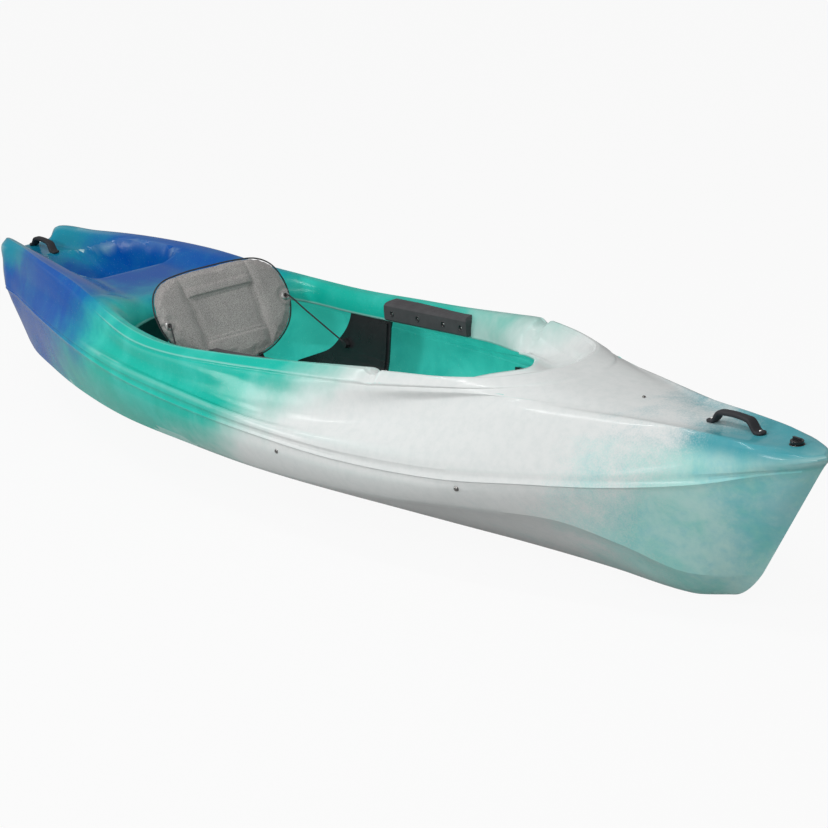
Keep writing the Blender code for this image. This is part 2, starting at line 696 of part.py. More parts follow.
def make_seat(guides, finishes, holes):
    """Seat moulding with hangers behind the coaming, hinge lugs and feet on the bottom."""
    profile = new_object("seat_profile", side_plate(seat_outline(), -BEAM, BEAM))
    seat = new_object("seat_pan", seat_channel(0, SEAT_WALL), finishes["plastic"])
    combine(seat, profile, "INTERSECT")
    ribs = new_object("seat_ribs", seat_channel(0.004, SEAT_WALL * 0.5))
    x = place(-0.211, 0, 0).x
    low, high = place(0, 0, 0.13).z, place(0, 0, 0.300).z
    band = new_object("rib_band", block((0.007, BEAM, high - low), (x, 0, (low + high) / 2)))
    combine(ribs, band, "INTERSECT")
    combine(seat, ribs, "UNION")
    eye = hinge_centre()
    floor = seat_height(eye.x, HINGE_SPREAD)
    lug = rounded(((eye.x - HINGE_EYE, eye.z + HINGE_EYE, HINGE_EYE * 0.95),
                   (eye.x + HINGE_EYE, eye.z + HINGE_EYE, HINGE_EYE * 0.95),
                   (eye.x + HINGE_EYE * 1.9, floor, 0), (eye.x - HINGE_EYE * 1.9, floor, 0)), 5)
    inner = HINGE_SPREAD + LUG_WIDTH / 2 + CLEARANCE
    rear, front = place(SEAT_REAR + 0.06, 0, 0).x, place(SEAT_FRONT - 0.04, 0, 0).x
    middle = SEAT_WIDTH * 0.29
    foot = loft([[(x, middle - 0.007, 0), (x, middle + 0.007, 0),
                  (x, middle + 0.007, seat_height(x, middle) - SEAT_WALL * 0.4),
                  (x, middle - 0.007, seat_height(x, middle) - SEAT_WALL * 0.4)]
                 for x in (rear, front)])
    extras = []
    for hand in (1, -1):
        extras.append(on_side(side_plate(lug, inner, inner + LUG_WIDTH), hand))
        extras.append(on_side(foot.copy(), hand))
    foot.free()
    combine(seat, new_object("lugs_and_feet", merged(extras)), "UNION")
    combine(seat, guides["inside"], "INTERSECT")
    bores = []
    for hand in (1, -1):
        axis = frame_of((eye.x, hand * HINGE_SPREAD, eye.z), (0, hand, 0))
        bores.append(moved(rod(HINGE_PIN + GAP, -0.03, 0.03, 16), axis))
        head = HINGE_SPREAD + LUG_WIDTH * 1.5 + CLEARANCE + GAP
        pin = ((0, -LUG_WIDTH * 2.2), (HINGE_PIN, -LUG_WIDTH * 2.2), (HINGE_PIN, 0),
               (HINGE_PIN * 1.8, 0), (HINGE_PIN * 1.6, 0.002), (0, 0.0025))
        seat_pin = moved(turned(pin, 16), frame_of((eye.x, hand * head, eye.z), (0, hand, 0)))
        new_object(f"backrest_pin_{side_name(hand)}", seat_pin, finishes["steel"])
    combine(seat, new_object("hinge_bores", merged([b.copy() for b in bores] + holes)))
    return new_object("tab_bores", merged(bores))


# Soft pads
def pillow(grid_s, grid_t, radius_at, front, back, matrix):
    """A pad: a grid drawn out to a rounded outline, with a face on either side of its seam."""
    bm = bmesh.new()
    faces = {}
    for side, height in (("front", front), ("back", back)):
        rows = []
        for t in grid_t:
            row = []
            for s in grid_s:
                across = s * math.sqrt(1 - t * t / 2)
                up = t * math.sqrt(1 - s * s / 2)
                share = min(1.0, math.hypot(across, up))
                radius = radius_at(math.atan2(up, across))
                angle = math.atan2(up, across)
                a, b = share * radius * math.cos(angle), share * radius * math.sin(angle)
                edge = abs(s) == 1 or abs(t) == 1
                if edge and side == "back":
                    row.append(faces["front"][len(rows)][len(row)])
                else:
                    spot = matrix @ Vector((a, b, height(a, b, 1.0 if edge else share)))
                    row.append(bm.verts.new(spot))
            rows.append(row)
        faces[side] = rows
        for r0, r1 in zip(rows, rows[1:]):
            for k in range(len(r0) - 1):
                quad = (r0[k], r0[k + 1], r1[k + 1], r1[k])
                bm.faces.new(quad if side == "front" else quad[::-1])
    return bm


def mirrored(values):
    return [-v for v in reversed(values) if v > 0] + list(values)


def outline_radius(points):
    """Radius of a closed outline round its centre, by angle."""
    angles = np.unwrap([math.atan2(p[1], p[0]) for p in points])
    radii = [math.hypot(p[0], p[1]) for p in points]
    return lambda angle: float(np.interp(angle % (2 * math.pi), angles, radii, period=2 * math.pi))


# Half outline of the backrest as shares of its half width and height
BACK_OUTLINE = ((0, 0), (0.38, 0.04), (0.64, 0.13), (0.85, 0.265), (0.96, 0.42), (1.0, 0.57),
                (0.985, 0.72), (0.90, 0.865), (0.73, 0.955), (0.42, 0.992), (0, 1.0))
# Backrest seams as shares: sides of the centre panel, its foot and head, top of the bar
BACK_SEAM = 0.49
BACK_PANEL = (0.268, 0.710)
BACK_BAR = 0.822


def back_frame():
    """Backrest frame: X to port, Y up its face, Z out of its face, at the foot of the pad."""
    origin = place(BACK_FOOT[0], 0, BACK_FOOT[1])
    lean = math.radians(BACK_LEAN)
    return frame_of(origin, (math.cos(lean), 0, math.sin(lean)), (0, 1, 0))


def back_outline(inset=0.0):
    half = [(p[0] * (BACK_WIDTH / 2 - inset), inset + p[1] * (BACK_HEIGHT - 2 * inset), 0)
            for p in BACK_OUTLINE]
    dense = spline(half, True, True)[::4, :2]
    return [tuple(p) for p in dense] + [(-p[0], p[1]) for p in dense[-2:0:-1]]


def groove(distance, width, depth):
    return -depth * math.exp(-(distance / width) ** 2)


def back_relief(a, b):
    """Seams, sunk centre panel and raised bar of the backrest's face."""
    seam = BACK_SEAM * BACK_WIDTH / 2
    foot, head = BACK_PANEL[0] * BACK_HEIGHT, BACK_PANEL[1] * BACK_HEIGHT
    bar = BACK_BAR * BACK_HEIGHT
    relief = groove(abs(a) - seam, 0.006, 0.0035)
    inside = float(smooth_step((seam - abs(a)) / 0.008))
    relief += inside * groove(b - foot, 0.006, 0.003)
    relief -= 0.004 * inside * float(smooth_step((b - foot) / 0.008) * smooth_step((head - b) / 0.006))
    relief += 0.003 * inside * float(smooth_step((b - head) / 0.006) * smooth_step((bar - b) / 0.012))
    return relief


def back_face(a, b, share):
    """Front of the backrest pad, above its frame's plane."""
    crown = (1 - share ** 6) ** 0.5
    middle = BACK_THICKNESS * -0.3
    return middle + BACK_THICKNESS * 0.6 * crown + back_relief(a, b + BACK_HEIGHT / 2) * crown


def back_rear(a, b, share):
    return BACK_THICKNESS * (-0.3 - 0.4 * (1 - share ** 8) ** 0.5)


def make_backrest(finishes, tab_bores):
    """Backrest: padded cover, stiff panel with hinge tabs, eyelets and cords."""
    frame = back_frame()
    centre = frame @ Matrix.Translation((0, BACK_HEIGHT / 2, 0))
    outline = [(p[0], p[1] - BACK_HEIGHT / 2) for p in back_outline()]
    lines_s = mirrored((0, 0.2, 0.36, 0.44, 0.49, 0.54, 0.66, 0.8, 0.92, 0.975, 1))
    lines_t = [2 * v - 1 for v in (0, 0.015, 0.05, 0.12, 0.19, 0.238, 0.268, 0.30, 0.42, 0.56,
                                   0.66, 0.692, 0.715, 0.74, 0.79, 0.83, 0.89, 0.95, 0.985, 1)]
    cover = pillow(lines_s, lines_t, outline_radius(outline), back_face, back_rear, centre)
    pad = new_object("backrest_pad", cover, finishes["fabric"], 60)
    rear = -BACK_THICKNESS * 0.7 - GAP
    low, high = 0.045, BACK_HEIGHT - 0.022
    half = PANEL_WIDTH / 2
    face = rounded(((-half * 0.86, low, 0.035), (half * 0.86, low, 0.035), (half, 0.15, 0.06),
                    (half * 0.93, high, 0.05), (-half * 0.93, high, 0.05), (-half, 0.15, 0.06)), 4)
    panel = new_object("backrest_panel", moved(plate(face, rear - PANEL_WALL, rear), frame),
                       finishes["plastic"])
    pieces = [pad, panel]
    ribs = []
    for share in (-0.62, 0, 0.62):
        ribs.append(moved(block((0.008, high - low - 0.05, 0.005),
                                (half * share, (low + high) / 2, rear - PANEL_WALL)), frame))
    combine(panel, new_object("panel_ribs", merged(ribs)), "UNION")
    eye = (-HINGE_DROP, -HINGE_BACK)
    tab = rounded(((eye[0] - HINGE_EYE, eye[1] - HINGE_EYE, HINGE_EYE * 0.95),
                   (eye[0] - HINGE_EYE, eye[1] + HINGE_EYE, HINGE_EYE * 0.95),
                   (eye[0] + HINGE_EYE, eye[1] + HINGE_EYE, 0.006), (-0.012, rear, 0.003),
                   (0.085, rear, 0.002), (0.085, rear - 0.010, 0.004),
                   (eye[0] + HINGE_EYE, eye[1] - HINGE_EYE - 0.002, 0.006)), 5)
    upright = Matrix(((0, 0, 1, 0), (1, 0, 0, 0), (0, 1, 0, 0), (0, 0, 0, 1)))
    tabs = []
    for hand in (1, -1):
        low_a = hand * HINGE_SPREAD - LUG_WIDTH / 2
        tabs.append(moved(plate(tab, low_a, low_a + LUG_WIDTH), frame @ upright))
    combine(panel, new_object("panel_tabs", merged(tabs)), "UNION")
    combine(panel, tab_bores)
    pockets = []
    for hand in (1, -1):
        spot = Vector((hand * EYELET_SIDE, EYELET_HEIGHT, 0))
        reach = math.hypot(spot.x, spot.y - BACK_HEIGHT / 2) / outline_radius(outline)(
            math.atan2(spot.y - BACK_HEIGHT / 2, spot.x))
        spot.z = back_face(spot.x, spot.y - BACK_HEIGHT / 2, reach) - 0.001
        bore = EYELET_BORE
        ring = ((bore, -0.010), (bore + 0.003, -0.010), (bore + 0.003, 0), (bore + 0.0065, 0),
                (bore + 0.0065, 0.0015), (bore + 0.0045, 0.003), (bore + 0.001, 0.003),
                (bore, 0.0015))
        pocket = ((0, -0.05), (bore + 0.003 + CLEARANCE, -0.05),
                  (bore + 0.003 + CLEARANCE, -CLEARANCE), (bore + 0.0065 + CLEARANCE, -CLEARANCE),
                  (bore + 0.0065 + CLEARANCE, 0.03), (0, 0.03))
        seat = frame @ Matrix.Translation(spot)
        pieces.append(new_object(f"backrest_eyelet_{side_name(hand)}",
                                 moved(turned(ring, 12), seat), finishes["steel"]))
        pockets.append(moved(turned(pocket, 12), seat))
        make_cord(hand, seat, finishes)
    combine(pad, new_object("eyelet_pockets", merged(pockets)))
    for piece in pieces:
        put_on_axis(piece, hinge_centre())


# Where the backrest's cords end, on the hips of the seat
CLEAT = (-0.374, 0.226)


def make_cord(hand, seat, finishes):
    """A cord through an eyelet to its cleat, and the cleat."""
    spot = place(CLEAT[0], 0, CLEAT[1])
    curve = seat_curve(spot.x)[4:]
    hip, below, above = np.interp((spot.z, spot.z - 0.01, spot.z + 0.01), curve[:, 2], curve[:, 1])
    inward = Vector((0, -hand, (above - below) / 0.02)).normalized()
    base = Vector((spot.x, hand * hip, spot.z))
    end = base + inward * 0.0085
    bend = seat @ Vector((0.002 * hand, -0.002, 0.009))
    way = (end - bend).normalized()
    route = [seat @ Vector((0, 0, -0.008)), seat @ Vector((0, 0, 0.002)), bend,
             bend.lerp(end, 0.35), bend.lerp(end, 0.7), end, end + way * 0.004]
    dense = spline(route, False, False)
    count = int(np.linalg.norm(np.diff(dense, axis=0), axis=1).sum() / (CORD * 2))
    points = by_length(dense, [k / count for k in range(count + 1)])
    line_data = bpy.data.curves.new(f"backrest_cord_{side_name(hand)}", "CURVE")
    line_data.dimensions = "3D"
    line_data.bevel_depth = CORD / 2
    line_data.bevel_resolution = 2
    line_data.use_fill_caps = True
    line = line_data.splines.new("POLY")
    line.points.add(len(points) - 1)
    for knot, point in zip(line.points, points):
        knot.co = (*point, 1)
    line_data.materials.append(finishes["cord"])
    cord = bpy.data.objects.new(line_data.name, line_data)
    bpy.context.collection.objects.link(cord)
    outline = rounded(((-0.013, -0.007, 0.004), (0.013, -0.007, 0.004), (0.013, 0.007, 0.004),
                       (-0.013, 0.007, 0.004)), 3)
    body = moved(plate(outline, GAP * 2, 0.0125), frame_of(base, inward, way))
    cleat = new_object(f"cord_cleat_{side_name(hand)}", body, finishes["plastic"])
    bore = moved(rod(CORD / 2 + CLEARANCE, -0.05, 0.05, 12), frame_of(end, way))
    combine(cleat, new_object(f"cord_bore_{side_name(hand)}", bore))


def make_cushion(finishes):
    """Seat cushion: crowned, with sewn channels across it."""
    centre_x = place(SEAT_FRONT, 0, 0).x - 0.03 - CUSHION_LENGTH / 2
    half = (CUSHION_LENGTH / 2, CUSHION_WIDTH / 2)

    def radius_at(angle):
        power = 5
        return ((abs(math.cos(angle)) / half[0]) ** power
                + (abs(math.sin(angle)) / half[1]) ** power) ** (-1 / power)

    def floor(a, b):
        return seat_height(centre_x + a, b) + GAP * 2

    def under(a, b, share):
        return floor(a, b) + CUSHION_THICKNESS * 0.4 * (1 - (1 - share ** 8) ** 0.5)

    def over(a, b, share):
        crown = (1 - share ** 5) ** 0.5
        height = floor(a, b) + CUSHION_THICKNESS * (0.4 + 0.6 * crown)
        for channel in (-0.30, 0.02, 0.34):
            height += groove(a - channel * CUSHION_LENGTH, 0.007, 0.005) * crown
        return height

    lines_t = mirrored((0, 0.25, 0.5, 0.75, 0.9, 0.97, 1))
    lines_s = sorted({round(c * 2 + d, 3) for c in (-0.30, 0.02, 0.34) for d in (-0.07, 0, 0.07)}
                     | {-1, -0.97, -0.85, -0.3, -0.14, 0.2, 0.4, 0.86, 0.97, 1})
    pad = pillow(lines_s, lines_t, radius_at, over, under, Matrix.Translation((centre_x, 0, 0)))
    return new_object("seat_cushion", pad, finishes["fabric"], 60)


# Thigh pads
def lip_at(x):
    """Half breadth and height of the cockpit's lower edge, at a place on the drawn lines."""
    rows = [(-p[0], p[1], p[2]) for p in LIP]
    across = float(np.interp(-x, [r[0] for r in rows], [r[1] for r in rows]))
    height = float(np.interp(-x, [r[0] for r in rows], [r[2] for r in rows]))
    spot = place(x, across, height)
    return spot.x, spot.y, spot.z


def make_thigh_pad(hand, guides, finishes):
    """A moulded strip screwed to the cockpit's inner wall. Returns its screws' holes."""
    sections = []
    for x in np.linspace(PAD_REAR - 0.004, PAD_FRONT + 0.004, 9):
        spot, edge, foot = lip_at(x)
        face = edge - PAD_PROUD
        low, high = foot + 0.004, foot + 0.004 + PAD_HEIGHT
        outline = ((face + 0.004, low), (face, low + 0.004), (face, high - 0.009),
                   (face + 0.003, high - 0.003), (face + 0.009, high), (face + 0.032, high + 0.003),
                   (face + 0.032, low))
        sections.append([(spot, p[0], p[1]) for p in outline])
    name = f"thigh_pad_{side_name(hand)}"
    pad = new_object(name, on_side(loft(sections), hand), finishes["plastic"])
    rear, front = lip_at(PAD_REAR), lip_at(PAD_FRONT)
    ends = rounded(((rear[0], rear[2] + 0.002, 0.008), (front[0], front[2] + 0.002, 0.008),
                    (front[0], front[2] + PAD_HEIGHT + 0.01, 0.018),
                    (rear[0], rear[2] + PAD_HEIGHT + 0.01, 0.026)), 5)
    trim = new_object(f"pad_ends_{side_name(hand)}", side_plate(ends, -BEAM, BEAM))
    combine(pad, trim, "INTERSECT")
    combine(pad, guides["outside"])
    holes = []
    sinks = []
    for k, x in enumerate(PAD_SCREWS):
        spot, edge, foot = lip_at(x)
        seat = frame_of((spot, hand * (edge - PAD_PROUD + 0.005), foot + PAD_HEIGHT * 0.52),
                        (0, -hand, 0))
        body, hole = screw_shapes(seat, SCREW, SCREW_HEAD, 0.021)
        new_object(f"pad_screw_{side_name(hand)}_{k + 1}", body, finishes["steel"])
        holes.append(hole)
        sinks.append(sunk_hole(seat, SCREW, SCREW_HEAD, 0.03))
    combine(pad, new_object(f"pad_cuts_{side_name(hand)}", merged(sinks)))
    return holes


# Foot braces
def brace_frame(trees):
    """Port rail's frame: X forward along the rail, Z inboard, on the shell's inside."""
    ends = []
    normals = Vector()
    for x, z in (BRACE_REAR, BRACE_FRONT):
        spot = place(x, 0, z)
        hit, normal, _, _ = trees["inner"].ray_cast(spot, Vector((0, 1, 0)))
        ends.append(hit)
        normals += normal
    along = (ends[1] - ends[0]).normalized()
    inboard = -(normals - along * normals.dot(along))
    return frame_of(ends[0], inboard, along), (ends[1] - ends[0]).length


def make_foot_brace(hand, trees, guides, finishes):
    """Rail, pedal and latch of one side. Returns the holes of its bolts."""
    frame, length = brace_frame(trees)
    side = side_name(hand)
    half = RAIL_HEIGHT / 2
    floor = RAIL_STAND + RAIL_WALL
    top = RAIL_STAND + RAIL_DEPTH
    profile = ((-half, RAIL_STAND), (half, RAIL_STAND), (half, top), (RAIL_MOUTH / 2, top),
               (RAIL_MOUTH / 2, top - RAIL_LIP), (half - RAIL_WALL, top - RAIL_LIP),
               (half - RAIL_WALL, floor), (-half + RAIL_WALL, floor),
               (-half + RAIL_WALL, top - RAIL_LIP), (-RAIL_MOUTH / 2, top - RAIL_LIP),
               (-RAIL_MOUTH / 2, top), (-half, top))
    channel = loft([[(x, y, z) for y, z in profile] for x in (-RAIL_END, length + RAIL_END)])
    made = new_object(f"brace_rail_{side}", on_side(moved(channel, frame), hand),
                      finishes["plastic"])
    feet = []
    for x in (0, length):
        feet.append(block((RAIL_END * 1.6, RAIL_HEIGHT * 0.7, 0.02), (x, 0, floor - 0.0115)))
    feet = on_side(moved(merged(feet), frame), hand)
    combine(made, new_object(f"rail_feet_{side}", feet), "UNION")
    combine(made, guides["inside"], "INTERSECT")
    cuts = []
    first = (PEDAL_PLACE + LATCH_PLACE) % RACK_PITCH + 2 * RACK_PITCH
    for k in range(int((length - RAIL_END - first) / RACK_PITCH) + 1):
        cuts.append(moved(block((RACK_SLOT, 0.009, 0.0045),
                                (first + k * RACK_PITCH, -half + 0.0035, top - 0.00125)), frame))
    holes = []
    inboard = frame.to_3x3() @ Vector((0, 0, 1))
    for end, x in (("rear", 0), ("front", length)):
        spot = frame @ Vector((x, 0, 0))
        hit, normal, _, _ = trees["outer"].ray_cast(spot, -inboard)
        lift = BOLT_HEAD / 2 * math.tan(normal.angle(-inboard))
        seat = frame_of(hit - inboard * lift, -inboard)
        reach = (hit - spot).length + lift + floor + 0.006
        body, hole = screw_shapes(seat, BOLT, BOLT_HEAD, reach)
        new_object(f"brace_bolt_{end}_{side}", on_side(body, hand), finishes["steel"])
        cuts.append(hole.copy())
        holes.append(on_side(hole, hand))
        inside = frame @ Matrix.Translation((x, 0, floor + GAP))
        nut = new_object(f"brace_nut_{end}_{side}",
                         on_side(moved(rod(0.0058, 0, 0.004, 6), inside), hand), finishes["steel"])
        thread = on_side(moved(rod(BOLT / 2 + CLEARANCE, -0.01, 0.01), inside), hand)
        combine(nut, new_object(f"nut_bore_{end}_{side}", thread))
    cuts = on_side(merged(cuts), hand)
    combine(made, new_object(f"rail_cuts_{side}", cuts))
    make_pedal(hand, frame @ Matrix.Translation((PEDAL_PLACE, 0, 0)), guides, finishes)
    return holes


def make_pedal(hand, frame, guides, finishes):
    """Sliding pedal, clear of the hull all along its travel, and the latch that holds it."""
    side = side_name(hand)
    half = RAIL_HEIGHT / 2 - RAIL_WALL - CLEARANCE
    floor = RAIL_STAND + RAIL_WALL + CLEARANCE
    top = RAIL_STAND + RAIL_DEPTH
    under = top - RAIL_LIP - CLEARANCE
    neck = RAIL_MOUTH / 2 - CLEARANCE * 2
    slider = block((SLIDER_LENGTH, half * 2, under - floor), (0, 0, (under + floor) / 2))
    pedal = new_object(f"brace_pedal_{side}", on_side(moved(slider, frame), hand),
                       finishes["plastic"])
    inner = top + 0.003
    lean = Matrix.Translation((-SLIDER_LENGTH * 0.32, 0, 0)) @ Matrix.Rotation(-PEDAL_LEAN, 4, "Z")
    upright = Matrix(((0, 0, -1, 0), (0, 1, 0, 0), (1, 0, 0, 0), (0, 0, 0, 1)))
    outline = rounded(((inner, -PEDAL_HEIGHT / 2, 0.012),
                       (inner + PEDAL_WIDTH, -PEDAL_HEIGHT / 2, 0.022),
                       (inner + PEDAL_WIDTH, PEDAL_HEIGHT / 2, 0.022),
                       (inner, PEDAL_HEIGHT / 2, 0.012)), 4)
    parts = [moved(plate(outline, -PEDAL_WALL, 0), lean @ upright)]
    rises = top + 0.001 - floor - 0.001
    parts.append(block((SLIDER_LENGTH, neck * 2, rises), (0, 0, floor + 0.001 + rises / 2)))
    parts.append(block((0.022, 0.014, 0.034), (-SLIDER_LENGTH * 0.24, 0, top + 0.0155)))
    for shift in (-1, 1):
        parts.append(block((0.003, 0.009, 0.0105),
                           (LATCH_PLACE + shift * 0.008, 0, top + 0.00475)))
    shapes = []
    for k, part in enumerate(parts):
        shapes.append(new_object(f"pedal_part_{k + 1}_{side}", on_side(moved(part, frame), hand)))
    ribs = []
    for k in range(6):
        y = PEDAL_HEIGHT * (-0.4 + 0.16 * k)
        rib = block((0.004, 0.005, PEDAL_WIDTH * 0.8), (-0.001, y, inner + PEDAL_WIDTH * 0.52))
        ribs.append(moved(moved(rib, lean), frame))
    shapes.append(new_object(f"tread_ribs_{side}", on_side(merged(ribs), hand)))
    axis = frame @ frame_of((LATCH_PLACE, 0, top + LATCH_RISE), (1, 0, 0), (0, 1, 0))
    pin = moved(rod(LATCH_PIN, -0.0088, 0.0088, 8), axis)
    shapes.append(new_object(f"latch_pin_{side}", on_side(pin, hand)))
    for shape in shapes:
        combine(pedal, shape, "UNION")
    forward = frame.to_3x3() @ Vector((1, 0, 0))
    for end, travel in zip(("rear", "front"), PEDAL_TRAVEL):
        room = guides["inside"].copy()
        room.name = f"pedal_room_{end}_{side}"
        room.location = (-forward.x * travel, -forward.y * travel * hand, -forward.z * travel)
        bpy.context.collection.objects.link(room)
        combine(pedal, room, "INTERSECT")
    sole = LATCH_RISE - 0.0036
    lever = ((0.0032, -0.0015), (0.0032, 0.0015), (0.0015, 0.0032), (-0.024, 0.0012),
             (-0.027, 0.0030), (-0.028, 0.0012), (-0.0255, -sole), (-0.0125, -sole),
             (-0.0120, -LATCH_RISE + 0.0004), (-0.0090, -LATCH_RISE + 0.0004),
             (-0.0086, -sole), (-0.0032, -sole), (-0.0015, -0.0032), (0.0015, -0.0032))
    wide = 0.0062
    tooth = RACK_SLOT / 2 - 0.001
    latch = loft([[(x, y, z) for y, z in lever] for x in (-wide, wide)])
    place_latch = frame @ Matrix.Translation((LATCH_PLACE, 0, top + LATCH_RISE))
    made = new_object(f"brace_latch_{side}", on_side(moved(latch, place_latch), hand),
                      finishes["plastic"])
    cuts = [moved(rod(LATCH_PIN + GAP, -0.02, 0.02, 8), axis)]
    for shift in (-1, 1):
        size = wide + 0.001 - tooth
        cuts.append(moved(block((size, 0.006, 0.004), (shift * (tooth + size / 2), -0.0105,
                                                        -sole - 0.002)), place_latch))
    combine(made, new_object(f"latch_cuts_{side}", on_side(merged(cuts), hand)))
    for piece, place_at in ((pedal, frame.translation), (made, place_latch.translation)):
        put_on_axis(piece, (place_at.x, place_at.y * hand, place_at.z))


# Carry handles
def make_handle(name, centre_x, length, trees, guides, finishes):
    """A moulded handle bowed over the deck. Returns the holes of its screws."""
    feet = []
    for end in (-0.5, 0.5):
        spot = place(centre_x + length * end, 0, 0)
        feet.append(Vector((spot.x, 0, trees["outer"].ray_cast((spot.x - 0.012 * end, 0, DEPTH + 0.1),
                                                              (0, 0, -1))[0].z)))
    along = feet[1] - feet[0]
    matrix = frame_of((feet[0] + feet[1]) / 2, (0, -1, 0), along)
    half = along.length / 2
    foot = HANDLE_FOOT
    top = [(-half, 0.003), (-half + 0.006, 0.0075), (-half + foot, 0.011), (-half * 0.5, HANDLE_RISE * 0.86),
           (0, HANDLE_RISE), (half * 0.5, HANDLE_RISE * 0.86), (half - foot, 0.011),
           (half - 0.006, 0.0075), (half, 0.003)]
    under = [(half, -0.012), (half - foot, -0.012), (half - foot, 0.002),
             (half * 0.5, (HANDLE_RISE - HANDLE_THICK) * 0.86), (0, HANDLE_RISE - HANDLE_THICK),
             (-half * 0.5, (HANDLE_RISE - HANDLE_THICK) * 0.86), (-half + foot, 0.002),
             (-half + foot, -0.012), (-half, -0.012)]
    arch = [tuple(p[:2]) for p in spline([(x, y, 0) for x, y in top], False, False)[::4]]
    arch += under[:2] + [tuple(p[:2]) for p in
                         spline([(x, y, 0) for x, y in under[2:7]], False, False)[::4]] + under[7:]
    wide = HANDLE_WIDTH / 2
    handle = new_object(name, moved(plate(arch, -wide, wide), matrix), finishes["handle"])
    waist = []
    for hand in (-1, 1):
        edge = [(-half - 0.01, wide), (-half + foot, wide), (0, wide * 0.72), (half - foot, wide),
                (half + 0.01, wide)]
        curve = spline([(x * hand, y * hand, 0) for x, y in edge], False, False)[::8]
        waist += [tuple(p[:2]) for p in curve]
    flat = Matrix(((1, 0, 0, 0), (0, 0, 1, 0), (0, -1, 0, 0), (0, 0, 0, 1)))
    slab = new_object(f"{name}_waist", moved(plate(waist, -0.05, 0.09), matrix @ flat))
    combine(handle, guides["outside"])
    combine(handle, slab, "INTERSECT")
    holes = []
    cuts = []
    for k, end in enumerate((-1, 1)):
        centre = matrix @ Vector((end * (half - foot * 0.5), 0.006, 0))
        seat = frame_of(centre, matrix.to_3x3() @ Vector((0, 1, 0)))
        body, hole = screw_shapes(seat, SCREW, SCREW_HEAD, 0.021)
        new_object(f"{name}_screw_{k + 1}", body, finishes["steel"])
        cuts.append(sunk_hole(seat, SCREW, SCREW_HEAD, 0.03))
        holes.append(hole)
    combine(handle, new_object(f"{name}_cuts", merged(cuts)))
    return holes


# Drain
def make_drain(trees, guides, finishes):
    """Drain plug, its gasket and its socket in the foredeck. Returns the socket's hole."""
    spot = place(DRAIN_X, 0, 0)
    hit, normal, _, _ = trees["outer"].ray_cast((spot.x, 0, DEPTH + 0.1), (0, 0, -1))
    seat = frame_of(hit, (normal.x, 0, normal.z))
    barrel = DRAIN_BORE + 0.0025
    flange = turned(((0, -0.004), (DRAIN_RADIUS + 0.002, -0.004), (DRAIN_RADIUS + 0.002, 0.0022),
                     (DRAIN_RADIUS + 0.001, 0.003), (0, 0.003)), 24)
    socket = new_object("drain_socket", moved(flange, seat), finishes["plastic"])
    combine(socket, guides["outside"])
    combine(socket, new_object("drain_barrel", moved(rod(barrel, -0.018, 0.0028, 24), seat)), "UNION")
    combine(socket, new_object("drain_bore", moved(rod(DRAIN_BORE, -0.03, 0.02, 20), seat)))
    ring = ((DRAIN_BORE - 0.0008, 0.0033), (DRAIN_RADIUS - 0.0015, 0.0033),
            (DRAIN_RADIUS - 0.0015, 0.0047), (DRAIN_BORE - 0.0008, 0.0047))
    gasket = new_object("drain_gasket", moved(turned(ring, 24), seat), finishes["rubber"])
    cap = ((0, -0.013), (DRAIN_BORE - 0.0016, -0.013), (DRAIN_BORE - 0.0011, -0.012),
           (DRAIN_BORE - 0.0011, 0.005), (DRAIN_RADIUS, 0.005), (DRAIN_RADIUS, 0.0095),
           (DRAIN_RADIUS - 0.001, 0.0105), (0, 0.0108))
    plug = new_object("drain_plug", moved(turned(cap, 24), seat), finishes["plastic"])
    grip = block((DRAIN_RADIUS * 1.45, 0.005, 0.006), (0, 0, 0.0125))
    combine(plug, new_object("plug_grip", moved(grip, seat)), "UNION")
    for piece in (gasket, plug):
        put_on_axis(piece, hit)
    return [moved(rod(barrel + GAP, -0.03, 0.03, 24), seat)]


# Foam pillars
def make_pillars(guides, finishes, trees):
    """Upright foam slabs that hold the decks up. Returns the foredeck screw's hole."""
    spot = place(PILLAR_SCREW, 0, 0)
    hit, normal, _, _ = trees["outer"].ray_cast((spot.x, 0, DEPTH + 0.1), (0, 0, -1))
    body, hole = screw_shapes(frame_of(hit, normal), SCREW, SCREW_HEAD, 0.024)
    new_object("foredeck_screw", body, finishes["steel"])
    for name, rear, front in (("bow_foam_pillar", *BOW_PILLAR), ("stern_foam_pillar", *STERN_PILLAR)):
        low, high = place(rear, 0, 0).x, place(front, 0, 0).x
        slab = block((high - low, PILLAR_THICK, DEPTH * 1.2), ((low + high) / 2, 0, DEPTH / 2))
        pillar = new_object(name, slab, finishes["foam"])
        combine(pillar, guides["inside"], "INTERSECT")
        if name.startswith("bow"):
            combine(pillar, new_object("pillar_screw_hole", hole.copy()))
    return [hole]


def put_on_axis(piece, spot):
    """Give a moving piece an empty on its joint axis to turn or slide with."""
    pivot = bpy.data.objects.new(f"{piece.name}_axis", None)
    pivot.location = spot
    bpy.context.collection.objects.link(pivot)
    piece.parent = pivot
    piece.matrix_parent_inverse = Matrix.Translation(-Vector(spot))


